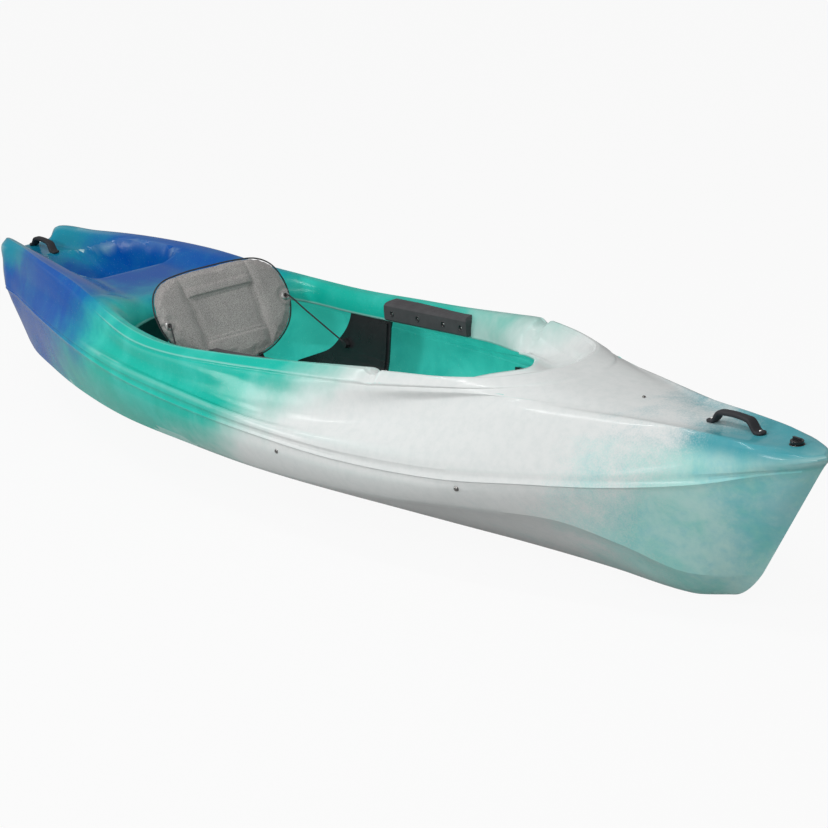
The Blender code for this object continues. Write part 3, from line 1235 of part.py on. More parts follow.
def main():
    clear_scene()
    finishes = {
        "shell": material("moulded_shell", (0.04, 0.42, 0.42), 0.25),
        "plastic": material("black_plastic", (0.025, 0.025, 0.028), 0.45),
        "handle": material("handle_plastic", (0.02, 0.02, 0.022), 0.5),
        "fabric": material("grey_fabric", (0.25, 0.24, 0.235), 0.9),
        "cord": material("black_cord", (0.02, 0.02, 0.02), 0.85),
        "rubber": material("black_rubber", (0.02, 0.02, 0.02), 0.8),
        "steel": material("stainless_steel", (0.6, 0.6, 0.6), 0.3, 1.0),
        "foam": material("black_foam", (0.04, 0.04, 0.042), 0.9),
    }
    guides = {"inside": new_object("inside_guide", cap_cockpit(skin(-WALL - GAP * 2))),
              "outside": new_object("outside_guide", cap_cockpit(skin(GAP * 2)))}
    trees = {"inner": skin_tree(-WALL), "outer": skin_tree(0)}
    hull = new_object("hull_shell", shell(), finishes["shell"])
    pad_holes = []
    holes = []
    for hand in (1, -1):
        pad_holes += make_thigh_pad(hand, guides, finishes)
        holes += make_foot_brace(hand, trees, guides, finishes)
    holes += make_handle("bow_handle", BOW_HANDLE_X, BOW_HANDLE_LENGTH, trees, guides, finishes)
    holes += make_handle("stern_handle", STERN_HANDLE_X, STERN_HANDLE_LENGTH, trees, guides,
                         finishes)
    holes += make_drain(trees, guides, finishes)
    holes += make_pillars(guides, finishes, trees)
    tab_bores = make_seat(guides, finishes, [hole.copy() for hole in pad_holes])
    make_backrest(finishes, tab_bores)
    make_cushion(finishes)
    combine(hull, new_object("hull_holes", merged(holes + pad_holes)))


main()
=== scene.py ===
"""Looks of a short sit-inside kayak: moulded shell, padded seat, handles and fittings.

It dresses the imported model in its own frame: X to the bow, Y to port, Z up, in metres.
"""
import math

import bmesh
import bpy
import numpy as np
from mathutils import Matrix, Vector
from mathutils.bvhtree import BVHTree


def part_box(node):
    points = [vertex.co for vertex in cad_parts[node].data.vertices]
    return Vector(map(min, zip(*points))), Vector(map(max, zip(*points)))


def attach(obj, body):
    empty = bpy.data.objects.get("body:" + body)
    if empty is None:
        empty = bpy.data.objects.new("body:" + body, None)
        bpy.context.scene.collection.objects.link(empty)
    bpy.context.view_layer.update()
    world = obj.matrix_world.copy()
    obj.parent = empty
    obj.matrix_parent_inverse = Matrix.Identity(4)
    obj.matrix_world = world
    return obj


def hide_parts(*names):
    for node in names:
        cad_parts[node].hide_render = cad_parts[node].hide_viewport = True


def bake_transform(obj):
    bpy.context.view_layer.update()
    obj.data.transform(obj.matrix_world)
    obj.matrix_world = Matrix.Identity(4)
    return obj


bl_info = {
    "name": "Recreational Kayak",
    "version": (1, 0, 0),
    "blender": (4, 5, 0),
    "location": "View3D > Sidebar > Kayak",
    "description": "Dresses the kayak's frame with its shell, soft goods, fittings and stage",
    "category": "Object",
}

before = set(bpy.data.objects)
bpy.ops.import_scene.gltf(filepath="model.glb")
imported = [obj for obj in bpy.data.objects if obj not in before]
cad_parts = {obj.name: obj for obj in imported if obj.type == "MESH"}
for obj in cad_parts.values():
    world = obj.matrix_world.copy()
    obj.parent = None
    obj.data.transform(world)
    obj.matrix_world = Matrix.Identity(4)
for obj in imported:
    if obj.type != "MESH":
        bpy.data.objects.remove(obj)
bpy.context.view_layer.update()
SHELL_LOW, SHELL_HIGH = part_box("hull_shell")


def linear(code):
    """A colour of the palette, given as RRGGBB, as linear values."""
    parts = [int(code[k:k + 2], 16) / 255 for k in (0, 2, 4)]
    return tuple(v / 12.92 if v <= 0.04045 else ((v + 0.055) / 1.055) ** 2.4 for v in parts)


# Lines of the shell: x, half breadth, height, from the bow to the middle of the stern
KEEL = ((1.246, 0, 0.037), (1.15, 0, 0.022), (0.9, 0, 0.016), (0.7, 0, 0.010), (0.5, 0, 0.003),
        (0.1, 0, 0), (-0.6, 0, 0), (-1.1, 0, 0.008), (-1.33, 0, 0.022), (-1.415, 0, 0.05),
        (-1.43, 0, 0.06))
CHINE = ((1.338, 0, 0.103), (1.22, 0.085, 0.10), (1.09, 0.148, 0.148), (0.95, 0.192, 0.178),
         (0.74, 0.247, 0.172), (0.49, 0.298, 0.157), (0.1, 0.318, 0.136), (-0.3, 0.308, 0.13),
         (-0.6, 0.285, 0.125), (-0.9, 0.235, 0.125), (-1.15, 0.178, 0.13), (-1.35, 0.125, 0.14),
         (-1.480, 0.064, 0.155), (-1.500, 0, 0.155))
SHEER = ((1.513, 0, 0.352), (1.49, 0.030, 0.35), (1.41, 0.066, 0.335), (1.28, 0.113, 0.303),
         (1.08, 0.186, 0.274), (0.9, 0.240, 0.258), (0.7, 0.291, 0.240), (0.4, 0.343, 0.235),
         (0.1, 0.362, 0.240), (-0.2, 0.359, 0.245), (-0.5, 0.342, 0.256), (-0.8, 0.297, 0.272),
         (-1.1, 0.223, 0.281), (-1.35, 0.150, 0.284), (-1.514, 0.096, 0.282), (-1.5275, 0, 0.280))
SHOULDER = ((1.5275, 0, 0.375), (1.505, 0.033, 0.372), (1.44, 0.064, 0.364), (1.27, 0.103, 0.342),
            (1.07, 0.170, 0.312), (0.7, 0.275, 0.279), (0.4, 0.332, 0.271), (0.1, 0.354, 0.270),
            (-0.2, 0.350, 0.278), (-0.6, 0.322, 0.288), (-0.97, 0.248, 0.294),
            (-1.21, 0.187, 0.296), (-1.43, 0.125, 0.293), (-1.516, 0.096, 0.291),
            (-1.5275, 0, 0.29))
GROOVE = ((1.513, 0, 0.384), (1.495, 0.028, 0.384), (1.43, 0.058, 0.385), (1.32, 0.076, 0.385),
          (1.20, 0.092, 0.380), (1.05, 0.130, 0.373), (0.85, 0.180, 0.366), (0.6, 0.250, 0.322),
          (0.265, 0.328, 0.279), (0.1, 0.334, 0.267), (-0.2, 0.333, 0.276), (-0.45, 0.322, 0.286),
          (-0.65, 0.298, 0.298), (-0.9, 0.245, 0.322), (-1.15, 0.186, 0.337),
          (-1.4, 0.122, 0.335), (-1.518, 0.096, 0.325), (-1.5275, 0, 0.322))
FLANK = ((1.2, 0, 0.390), (1.12, 0.055, 0.391), (0.95, 0.115, 0.395), (0.78, 0.163, 0.396),
         (0.6, 0.215, 0.372), (0.42, 0.270, 0.332), (0.265, 0.308, 0.302), (0.1, 0.320, 0.292),
         (-0.2, 0.322, 0.294), (-0.45, 0.312, 0.301), (-0.65, 0.284, 0.318), (-0.9, 0.234, 0.357),
         (-1.15, 0.178, 0.376), (-1.4, 0.116, 0.372), (-1.519, 0.093, 0.355), (-1.527, 0, 0.346))
RIM = ((0.87, 0, 0.416), (0.845, 0.085, 0.415), (0.76, 0.151, 0.408), (0.6, 0.215, 0.397),
       (0.42, 0.262, 0.381), (0.216, 0.284, 0.365), (0.1, 0.291, 0.357), (-0.1, 0.307, 0.345),
       (-0.3, 0.313, 0.334), (-0.5, 0.302, 0.333), (-0.7, 0.265, 0.353), (-0.9, 0.224, 0.387),
       (-1.15, 0.172, 0.404), (-1.4, 0.110, 0.402), (-1.520, 0.092, 0.392), (-1.5265, 0, 0.363))
CREST = ((0.79, 0, 0.430), (0.775, 0.065, 0.430), (0.72, 0.135, 0.426), (0.62, 0.187, 0.420),
         (0.5, 0.222, 0.417), (0.4, 0.242, 0.413), (0.3, 0.247, 0.404), (0.1, 0.260, 0.385),
         (-0.1, 0.276, 0.369), (-0.35, 0.286, 0.354), (-0.5, 0.276, 0.358), (-0.66, 0.252, 0.371),
         (-0.91, 0.208, 0.402), (-1.16, 0.162, 0.413), (-1.35, 0.115, 0.414),
         (-1.517, 0.077, 0.409), (-1.522, 0.057, 0.382), (-1.525, 0, 0.377))
LIP = ((0.65, 0, 0.393), (0.60, 0.06, 0.386), (0.515, 0.12, 0.366), (0.40, 0.17, 0.348),
       (0.25, 0.213, 0.336), (0.1, 0.236, 0.323), (-0.15, 0.248, 0.310), (-0.37, 0.250, 0.303),
       (-0.56, 0.237, 0.305), (-0.67, 0.19, 0.308), (-0.715, 0.10, 0.315), (-0.72, 0, 0.316))

# Half outline of the backrest as shares of its half width and height
BACK_OUTLINE = ((0, 0), (0.38, 0.04), (0.64, 0.13), (0.85, 0.265), (0.96, 0.42), (1.0, 0.57),
                (0.985, 0.72), (0.90, 0.865), (0.73, 0.955), (0.42, 0.992), (0, 1.0))

# Backrest: its foot, its panel's lower and upper edge and its bar's top as shares of its height,
# and its seam, face and rear as shares of its thickness
BACK_FOOT = (-0.4644, 0, 0.225)
BACK_PANEL = (0.268, 0.710)
BACK_BAR = 0.822
BACK_SEAM = -0.3
BACK_FACE = 0.36
BACK_REAR = 0.34

# Cord eyelets on the backrest's face, and the cleats on the seat's hips
EYELET_SIDE = 0.171
EYELET_HEIGHT = 0.131
CLEAT = (-0.374, 0, 0.226)

# Seat: ends and half width of its floor, the floor's height and how far it rises to the front
SEAT_ENDS = (-0.580, -0.075)
SEAT_HALF = 0.20
SEAT_FLOOR = 0.085
SEAT_RISE = 0.02

# Cushion: its sewn channels as shares of its length, its seam and crown as shares of its
# thickness, and the gap under it
CHANNELS = (-0.30, 0.02, 0.34)
CUSHION_SEAM = 0.36
CUSHION_CROWN = 0.36
CUSHION_GAP = 0.0012

# Sewing: length of a stitch, steps of half a pad's grid, size of the faces that it is made of
# before it is filled, and steps of the filling
STITCH = 0.0026
PAD_STEPS = 20
PAD_GRAIN = 0.0045
PAD_FRAMES = 20

# Cords: their bend in front of the eyelet, how far their ends stand off the hip, and the knot's
# length to a step and its least and further radius
CORD_BEND = (0.002, -0.002, 0.009)
CORD_STAND = 0.0085
KNOT_STEP = 0.0012
KNOT_RADII = (0.0015, 0.0026)

# Cups round the thigh pads' screws: radius of the ring and of its rim, and how far it is proud
CUP_RING = 0.0068
CUP_RIM = 0.0014
CUP_PROUD = 0.0012

# Softened edges of the shell and of the foam, and the foam's height over the shell's outside
SHELL_EDGE = 0.0028
FOAM_EDGE = 0.004
FOAM_STAND = 0.0055

# Carry handles: thickness of grip and feet, middle height of the feet, how far in they stand,
# how much of the height the grip's bow makes up, and the power that squares its section
GRIP_THICK = 0.0105
GRIP_BOW = 0.14
GRIP_SQUARE = 0.62
FOOT_THICK = 0.0082
FOOT_RISE = 0.0036
FOOT_IN = 0.012
HANDLE_STEPS = 60

# The paired pieces' sides, and the way each lies along Y
SIDES = (("port", 1), ("starboard", -1))

# Camera: target, its azimuth, elevation and roll in degrees, and its focal length in points of
# a picture this wide
CAMERA_TARGET = (0.1438, 0.0558, 0.1859)
CAMERA_TURN = (54.6423, 16.8593, -5.3626)
CAMERA_FOCUS = 2598.483
PICTURE_WIDTH = 828
SENSOR_WIDTH = 36

# Room's light, and the floor: its radius, its place just under the boat, its grey, and how white
# it is to reflections and to the camera
WORLD_LEVEL = 0.36
FLOOR_RADIUS = 40
FLOOR_HEIGHT = -0.001
FLOOR_SHADE = 0.48
FLOOR_WHITE = (0.12, 0.93)

# Lamps: name, place, target, size and power
LAMPS = (
    ("abeam", (0.3, -4.6, 2.6), (0, 0, 0.25), (1.4, 0.5), 66),
    ("front", (4.3, -2.6, 3.1), (0, 0, 0.25), (1.0, 0.6), 46),
    ("over", (0.3, -0.9, 2.7), (0.1, 0, 0.3), (2.6, 0.07), 26),
    ("stern", (-2.9, -2.4, 2.4), (-0.9, 0, 0.3), (0.09, 1.2), 13),
    ("low", (-2.1, -2.2, 0.55), (-1.1, -0.25, 0.18), (0.8, 0.5), 12),
)

# Stations along the shell: shares of a line's length forward of the middle, and x aft of it
MID_X = 0.1
FRONT_SHARES = (0, 0.04, 0.09, 0.15, 0.22, 0.29, 0.36, 0.43, 0.50, 0.55, 0.565, 0.572, 0.58,
                0.587, 0.602, 0.66, 0.73, 0.81, 0.9, 1)
AFT_STATIONS = (0.1, 0.0, -0.1, -0.2, -0.3, -0.4, -0.5, -0.57, -0.63, -0.68, -0.72, -0.76, -0.80,
                -0.88, -0.94, -0.985, -1.02, -1.07, -1.13, -1.19, -1.25, -1.31, -1.37, -1.43,
                -1.475, -1.517)
TRANSOM_SHARES = (0, 0.13, 0.25, 0.36, 0.45, 0.55, 0.66, 0.83, 1)
COCKPIT_STATIONS = 13
SAMPLES = 48

# Shares of the way from the chine to the sheer, how far the side swells and how far from the
# middle, and how far the sheer's edge stands proud
SIDE_SHARES = (0, 0.11, 0.22, 0.33, 0.44, 0.55, 0.66, 0.76, 0.85, 0.91, 0.955, 1)
SIDE_SWELL = 0.014
SWELL_REACH = 1.2
RIDGE = 0.0022

# How far the bottom is hollowed under the chine of the bow, and where that starts and ends
HOLLOW = 0.008
HOLLOW_AFT = (0.42, 0.62)
HOLLOW_FORE = (1.24, 1.08)

# Raised band that edges the cockpit: its height, where it starts along the boat, the rise of
# its two edges, and shares of the way from the rim to the crest, closer at those edges
BAND = 0.0042
BAND_START = (-0.80, -0.60)
BAND_OUTER = (0.09, 0.28)
BAND_INNER = (1, 0.90)
LEDGE_SHARES = (0, 0.06, 0.09, 0.12, 0.15, 0.18, 0.21, 0.24, 0.28, 0.33, 0.40, 0.50, 0.62, 0.76,
                0.88, 0.92, 0.96, 1)

# Width of the keel's flat, and the power of the curve from keel to chine along the boat: 1 is a
# straight V, 3 a flat bottom
KEEL_FLAT = 0.036
BOTTOM_POWER = ((-1.2, 1.0), (-0.6, 1.03), (-0.35, 1.2), (-0.2, 1.35), (0, 1.3), (0.3, 1.2),
                (0.6, 1.15), (0.95, 1.2), (1.15, 1.5), (1.4, 2.0))

# Rear deck along the boat: height of its middle, half width and depth of the cargo well; then
# the well's floor and least half width, and where its wall and the gunwales rise, as shares of
# the half widths of the well and of the deck
REAR_DECK = ((-1.525, 0.377), (-1.45, 0.371), (-1.38, 0.371), (-1.3, 0.376), (-1.15, 0.388),
             (-1.0, 0.378), (-0.88, 0.366), (-0.80, 0.360))
WELL_WIDTH = ((-1.40, 0.0), (-1.36, 0.038), (-1.3, 0.082), (-1.2, 0.122), (-1.1, 0.148),
              (-1.04, 0.156), (-0.985, 0.15))
WELL_SHARE = ((-1.40, 0), (-1.36, 0.15), (-1.30, 0.45), (-1.24, 0.85), (-1.19, 1.0),
              (-1.07, 1.0), (-1.03, 0.74), (-0.985, 0.0))
WELL_FLOOR = 0.292
WELL_LEAST = 0.005
WELL_WALL = (0.78, 0.98)
GUNWALE = (0.45, 0.95)

# Tray in front of the cockpit: where it starts, its sag, its raised edge and its sunk step
TRAY_START = (0.42, 0.57)
TRAY_SAG = 0.012
TRAY_EDGE = 0.006
TRAY_STEP = 0.004

# Paddle rest in the coaming
NOTCH_X = 0.428
NOTCH_WIDTH = 0.028
NOTCH_DEPTH = 0.011


def place(x, y, z):
    """A place on the drawn lines, moved to where it is on the shell of the frame."""
    return Vector((x * (SHELL_HIGH.x - SHELL_LOW.x) / (2 * SHOULDER[0][0]), y, z))


def finer(values, steps):
    """Values with evenly spaced ones put between each two."""
    made = []
    for low, high in zip(values, values[1:]):
        made += [low + (high - low) * k / steps for k in range(steps)]
    return made + [values[-1]]


def spline(points, blunt_start=False, blunt_end=False):
    """Centripetal Catmull-Rom curve; a blunt end meets the middle plane square."""
    pts = [np.array(p, float) for p in points]
    mirror = np.array((1, -1, 1))
    first = pts[1] * mirror if blunt_start else 2 * pts[0] - pts[1]
    last = pts[-2] * mirror if blunt_end else 2 * pts[-1] - pts[-2]
    pts = [first] + pts + [last]
    share = (np.arange(SAMPLES) / SAMPLES)[:, None]
    dense = []
    for p0, p1, p2, p3 in zip(pts, pts[1:], pts[2:], pts[3:]):
        t1 = np.linalg.norm(p1 - p0) ** 0.5
        t2 = t1 + np.linalg.norm(p2 - p1) ** 0.5
        t3 = t2 + np.linalg.norm(p3 - p2) ** 0.5
        t = t1 + (t2 - t1) * share
        a1 = p0 * (t1 - t) / t1 + p1 * t / t1
        a2 = p1 * (t2 - t) / (t2 - t1) + p2 * (t - t1) / (t2 - t1)
        a3 = p2 * (t3 - t) / (t3 - t2) + p3 * (t - t2) / (t3 - t2)
        b1 = a1 * (t2 - t) / t2 + a2 * t / t2
        b2 = a2 * (t3 - t) / (t3 - t1) + a3 * (t - t1) / (t3 - t1)
        dense.append(b1 * (t2 - t) / (t2 - t1) + b2 * (t - t1) / (t2 - t1))
    dense.append(pts[-2][None])
    return np.concatenate(dense)


def by_length(dense, shares):
    """Points at shares of a curve's length."""
    steps = np.linalg.norm(np.diff(dense, axis=0), axis=1)
    run = np.concatenate(([0], np.cumsum(steps)))
    wanted = np.array(shares) * run[-1]
    return np.stack([np.interp(wanted, run, dense[:, k]) for k in range(3)], axis=1)


def by_station(dense, shares):
    """Points of a curve that runs aft, at shares of its extent along X."""
    x = -dense[:, 0]
    wanted = x[0] + np.array(shares) * (x[-1] - x[0])
    return np.stack([np.interp(wanted, x, dense[:, k]) for k in range(3)], axis=1)


def rail(points, steps, blunt_bow=False, corner=-2, stations=AFT_STATIONS, spread=by_station):
    """A line of the shell at its stations, from the bow to the middle of the stern."""
    mid = next(i for i, p in enumerate(points) if p[0] == MID_X) * SAMPLES
    turn = (len(points) + corner) * SAMPLES
    dense = spline(points, blunt_bow, True)
    dense[:, 0] = np.clip(dense[:, 0], -SHOULDER[0][0], SHOULDER[0][0])
    dense[:, 2] = np.maximum(dense[:, 2], 0)
    aft = [(MID_X - x) / (MID_X - stations[-1]) for x in finer(stations, steps)]
    parts = (by_length(dense[:mid + 1], finer(FRONT_SHARES, steps)),
             spread(dense[mid:turn + 1], aft)[1:],
             by_length(dense[turn:], finer(TRANSOM_SHARES, steps))[1:])
    return np.concatenate(parts)


def rise(value, start, end):
    """A smooth way from 0 at the start to 1 at the end."""
    share = np.clip((value - start) / (end - start), 0, 1)
    return share * share * (3 - 2 * share)


def table(rows, x):
    """A value read between the rows of a table."""
    return np.interp(x, [r[0] for r in rows], [r[1] for r in rows])


def notch(x):
    """How far the coaming's top is lowered at the paddle rest."""
    return NOTCH_DEPTH * rise(np.abs(x - NOTCH_X) / (NOTCH_WIDTH / 2), 1.6, 0.6)


def ledge(points):
    """A section from the rim up to the crest, with the raised band that edges the cockpit."""
    share = np.array(LEDGE_SHARES)
    height = BAND * rise(points[0][0], *BAND_START) * rise(share, *BAND_OUTER)
    height = height * rise(share, *BAND_INNER)
    along = np.gradient(points, axis=0)
    flat = np.hypot(along[:, 1], along[:, 2]) + 1e-9
    moved = points.copy()
    moved[:, 1] += height * np.abs(along[:, 2]) / flat * rise(points[:, 1], 0, 0.04)
    moved[:, 2] += height * np.abs(along[:, 1]) / flat
    return moved


def bottom_rows(keel, chine, steps):
    """The bottom from the keel to the chine, hollowed under the chine of the bow."""
    power = table(BOTTOM_POWER, keel[:, 0])
    flat = np.minimum(KEEL_FLAT / 2, chine[:, 1] * 0.3)
    rows = [keel]
    for u in finer((0, 1), 4 * steps):
        row = keel + (chine - keel) * u
        row[:, 1] = flat + (chine[:, 1] - flat) * u
        row[:, 2] = keel[:, 2] + (chine[:, 2] - keel[:, 2]) * u ** power
        under = rise(row[:, 0], *HOLLOW_AFT) * rise(row[:, 0], *HOLLOW_FORE)
        row[:, 1] -= HOLLOW * under * rise(u, 0.4, 0.8) * rise(u, 1, 0.86)
        rows.append(row)
    return np.array(rows)


def side_rows(chine, sheer):
    """The side from the chine to the sheer, full in the middle and sunk under the sheer."""
    rows = []
    for u in SIDE_SHARES:
        row = chine + (sheer - chine) * u
        fullness = np.clip(1 - (row[:, 0] / SWELL_REACH) ** 2, 0, 1)
        row[:, 1] += SIDE_SWELL * fullness * 4 * u * (1 - u)
        if u < 1:
            row[:, 1] -= RIDGE * rise(u, 0.7, 0.94) * rise(row[:, 1], 0, 0.05)
        rows.append(row)
    return np.array(rows)


def deck_rows(sheer, crest, steps):
    """The deck from the sheer over shoulder, groove, flank and rim up to the crest."""
    lines = [rail(points, steps, True) for points in (SHOULDER, GROOVE, FLANK, RIM)]
    columns = []
    for places in zip(sheer, *lines, crest):
        dense = spline(places)
        column = []
        for k, count in enumerate((2, 2, 3, 3)):
            piece = dense[k * SAMPLES:(k + 1) * SAMPLES + 1]
            column.extend(by_length(piece, finer((0, 1), count * steps))[:-1])
        column.extend(ledge(by_length(dense[4 * SAMPLES:], LEDGE_SHARES))[:-1])
        for point in column[1:3]:
            point[1] -= RIDGE * rise(point[1], 0, 0.05)
        columns.append(column + [places[-1]])
    deck = np.array(columns).transpose(1, 0, 2)
    for row, share in zip(deck[::-1], LEDGE_SHARES[::-1]):
        row[:, 2] -= notch(row[:, 0]) * share
    return deck


def rear_deck_height(x, y, half, crest):
    """Height of the rear deck: platform, cargo well and the gunwales beside them."""
    base = table(REAR_DECK, x)
    height = base + (crest - base) * rise(abs(y) / half, *GUNWALE)
    width = table(WELL_WIDTH, x)
    if width > WELL_LEAST:
        wall = 1 - rise(abs(y) / width, *WELL_WALL)
        height -= (height - WELL_FLOOR) * table(WELL_SHARE, x) * wall
    return height


def rear_deck_rows(crest, across):
    """The rear deck between the two crests, from the cockpit aft, and the stern's top edge."""
    stern = len(crest) - len(across)
    rows = []
    for x, half, top in crest[:stern]:
        spots = [half * (1 - share) for share in across]
        rows.append([(x, y, rear_deck_height(x, y, half, top)) for y in spots])
    return np.array(rows + [crest[stern:].tolist()])


def wall_rows(top, lip, steps):
    """The cockpit's inner wall from its top down to its lip, with the tray in front."""
    tray = rise(top[:, 0], *TRAY_START)
    rows = []
    for u in finer((0, 1), 7 * steps):
        inward = math.sin(u * math.pi / 2) * (1 - tray) + u * tray
        down = (1 - math.cos(u * math.pi / 2)) * (1 - tray) + u ** 0.6 * tray
        row = top + (lip - top) * inward[:, None]
        row[:, 2] = top[:, 2] + (lip[:, 2] - top[:, 2]) * down
        row[:, 2] -= TRAY_SAG * tray * math.sin(u * math.pi) + notch(row[:, 0]) * (1 - u) ** 0.5
        step = rise(u, 0.26, 0.34) * rise(u, 0.95, 0.65)
        row[:, 2] += tray * (TRAY_EDGE * (1 - step) * rise(u, 0, 0.1) - TRAY_STEP * step)
        rows.append(row)
    return np.array(rows)


def shell_grids(steps):
    """The port half of the outer surface, as grids of points."""
    keel, chine, sheer = (rail(points, steps) for points in (KEEL, CHINE, SHEER))
    crest = rail(CREST, steps, True, -3)
    lip = rail(LIP, steps, True, -3, AFT_STATIONS[:COCKPIT_STATIONS], by_length)
    last = (len(FRONT_SHARES) + COCKPIT_STATIONS - 2) * steps
    rear = rear_deck_rows(crest[last:], finer(TRANSOM_SHARES, steps))
    top = np.concatenate((crest[:last + 1], rear[0][1:]))
    return (bottom_rows(keel, chine, steps), side_rows(chine, sheer),
            deck_rows(sheer, crest, steps), rear, wall_rows(top, lip, steps))


def shell_mesh(steps):
    """The outer surface as one open mesh, its faces pointing out."""
    bm = bmesh.new()
    reach, breadth = SHELL_HIGH.x, SHELL_HIGH.y
    for grid in shell_grids(steps):
        for hand in (1, -1):
            rows = []
            for row in grid:
                spots = [place(p[0], p[1] * hand, p[2]) for p in row]
                rows.append([bm.verts.new((max(-reach, min(reach, s.x)),
                                           max(-breadth, min(breadth, s.y)), s.z))
                             for s in spots])
            for r0, r1 in zip(rows, rows[1:]):
                for corners in zip(r0, r0[1:], r1[1:], r1):
                    bm.faces.new(corners)
    bmesh.ops.remove_doubles(bm, verts=bm.verts, dist=0.00002)
    bmesh.ops.dissolve_degenerate(bm, edges=bm.edges, dist=0.00001)
    bmesh.ops.recalc_face_normals(bm, faces=bm.faces)
    lowest = min(bm.faces, key=lambda f: f.calc_center_median().z)
    if lowest.normal.z > 0:
        bmesh.ops.reverse_faces(bm, faces=bm.faces)
    return bm


def length(title, text, default):
    """A property that is a length, in metres."""
    return bpy.props.FloatProperty(name=title, description=text, default=default, unit="LENGTH")


class KayakSizes(bpy.types.PropertyGroup):
    """Sizes of the soft goods, handles and stage."""
    shell_finer: bpy.props.IntProperty(
        name="Shell Steps", description="Steps between the shell's main stations", default=3,
        min=1, max=5)
    wall: length("Wall", "Thickness of the moulded wall", 0.005)
    back_height: length("Backrest Height", "Height of the backrest along its face", 0.258)
    back_width: length("Backrest Width", "Width of the padded backrest", 0.386)
    back_thick: length("Backrest Thickness", "Thickness of the filled pad", 0.032)
    back_lean: bpy.props.FloatProperty(
        name="Backrest Lean", description="Lean of the backrest from upright",
        default=math.radians(29.2), unit="ROTATION")
    cushion_length: length("Cushion Length", "Length of the seat cushion", 0.32)
    cushion_width: length("Cushion Width", "Width of the seat cushion", 0.33)
    cushion_thick: length("Cushion Thickness", "Thickness of the seat cushion", 0.034)
    puff: length("Puff", "How far the filled pads may swell", 0.008)
    cord: length("Cord", "Diameter of the backrest cords", 0.004)
    handle_width: length("Handle Width", "Width of the carry handles", 0.024)
    camera_distance: length("Camera Distance", "Distance from the camera to its target", 5.9686)


def tint(title, text, code):
    """A colour property with its default given as RRGGBB."""
    return bpy.props.FloatVectorProperty(name=title, description=text, default=linear(code),
                                         subtype="COLOR", size=3, min=0, max=1)


class KayakColours(bpy.types.PropertyGroup):
    """Colours of the finishes."""
    stern_blue: tint("Stern Blue", "Main colour of the stern", "0252a6")
    stern_cloud: tint("Stern Cloud", "Paler clouds in the blue stern", "1464a8")
    deep_teal: tint("Deep Teal", "Teal of the stern's deck and the inside's shade", "1c90a0")
    inside_shade: tint("Inside Shade", "Deeper teal of the bare inside", "2ba79c")
    inside: tint("Inside", "Teal of the bare inside", "3ab8ab")
    teal: tint("Teal", "Main colour round the cockpit", "12b2a0")
    teal_light: tint("Pale Teal", "Paler clouds in the teal", "3fc6b8")
    middle: tint("Pale Middle", "Pale grey of the middle and foredeck", "dbdedd")
    middle_shade: tint("Middle Shade", "Greyer clouds of the pale middle", "c3cccb")
    bow_teal: tint("Bow Teal", "Teal of the cloudy bow", "86d0c8")
    bow_pale: tint("Bow Pale", "Pale clouds of the bow", "c2e2dd")
    bow_blue: tint("Bow Blue", "Blue clouds of the bow", "62bccb")
    plastic: tint("Plastic", "Black moulded plastic", "18181a")
    plastic_light: tint("Plastic Bloom", "Paler bloom on the black plastic", "29282b")
    plastic_worn: tint("Plastic Wear", "Rubbed and dusty black plastic", "4c4a4d")
    cloth: tint("Cloth", "Middle colour of the heathered cloth", "9f9b99")
    cloth_dark: tint("Cloth Dark", "Dark yarns of the cloth", "747170")
    cloth_light: tint("Cloth Light", "Pale yarns of the cloth", "c4c0bd")
    foam: tint("Foam", "Closed-cell foam of the pillars", "2e2d2f")
    steel: tint("Steel", "Stainless steel of the fasteners", "c6c6c4")
    steel_dull: tint("Steel Dull", "Dull spots on the steel", "7d7c7a")
    thigh: tint("Thigh Pad", "Charcoal of the thigh pads", "4f4c4f")


class Signal:
    """A shader socket that takes arithmetic: each step adds its Math node."""

    def __init__(self, surface, socket):
        self.surface = surface
        self.socket = socket

    def math(self, operation, first, second):
        """The Math node of an operation on two signals or numbers."""
        values = {0: first, 1: second}
        return self.surface.node("ShaderNodeMath", {"operation": operation}, values)

    def __add__(self, other):
        return self.math("ADD", self, other)

    def __radd__(self, other):
        return self.math("ADD", other, self)

    def __sub__(self, other):
        return self.math("SUBTRACT", self, other)

    def __rsub__(self, other):
        return self.math("SUBTRACT", other, self)

    def __mul__(self, other):
        return self.math("MULTIPLY", self, other)

    def __rmul__(self, other):
        return self.math("MULTIPLY", other, self)

    def __truediv__(self, other):
        return self.math("DIVIDE", self, other)

    def __rtruediv__(self, other):
        return self.math("DIVIDE", other, self)


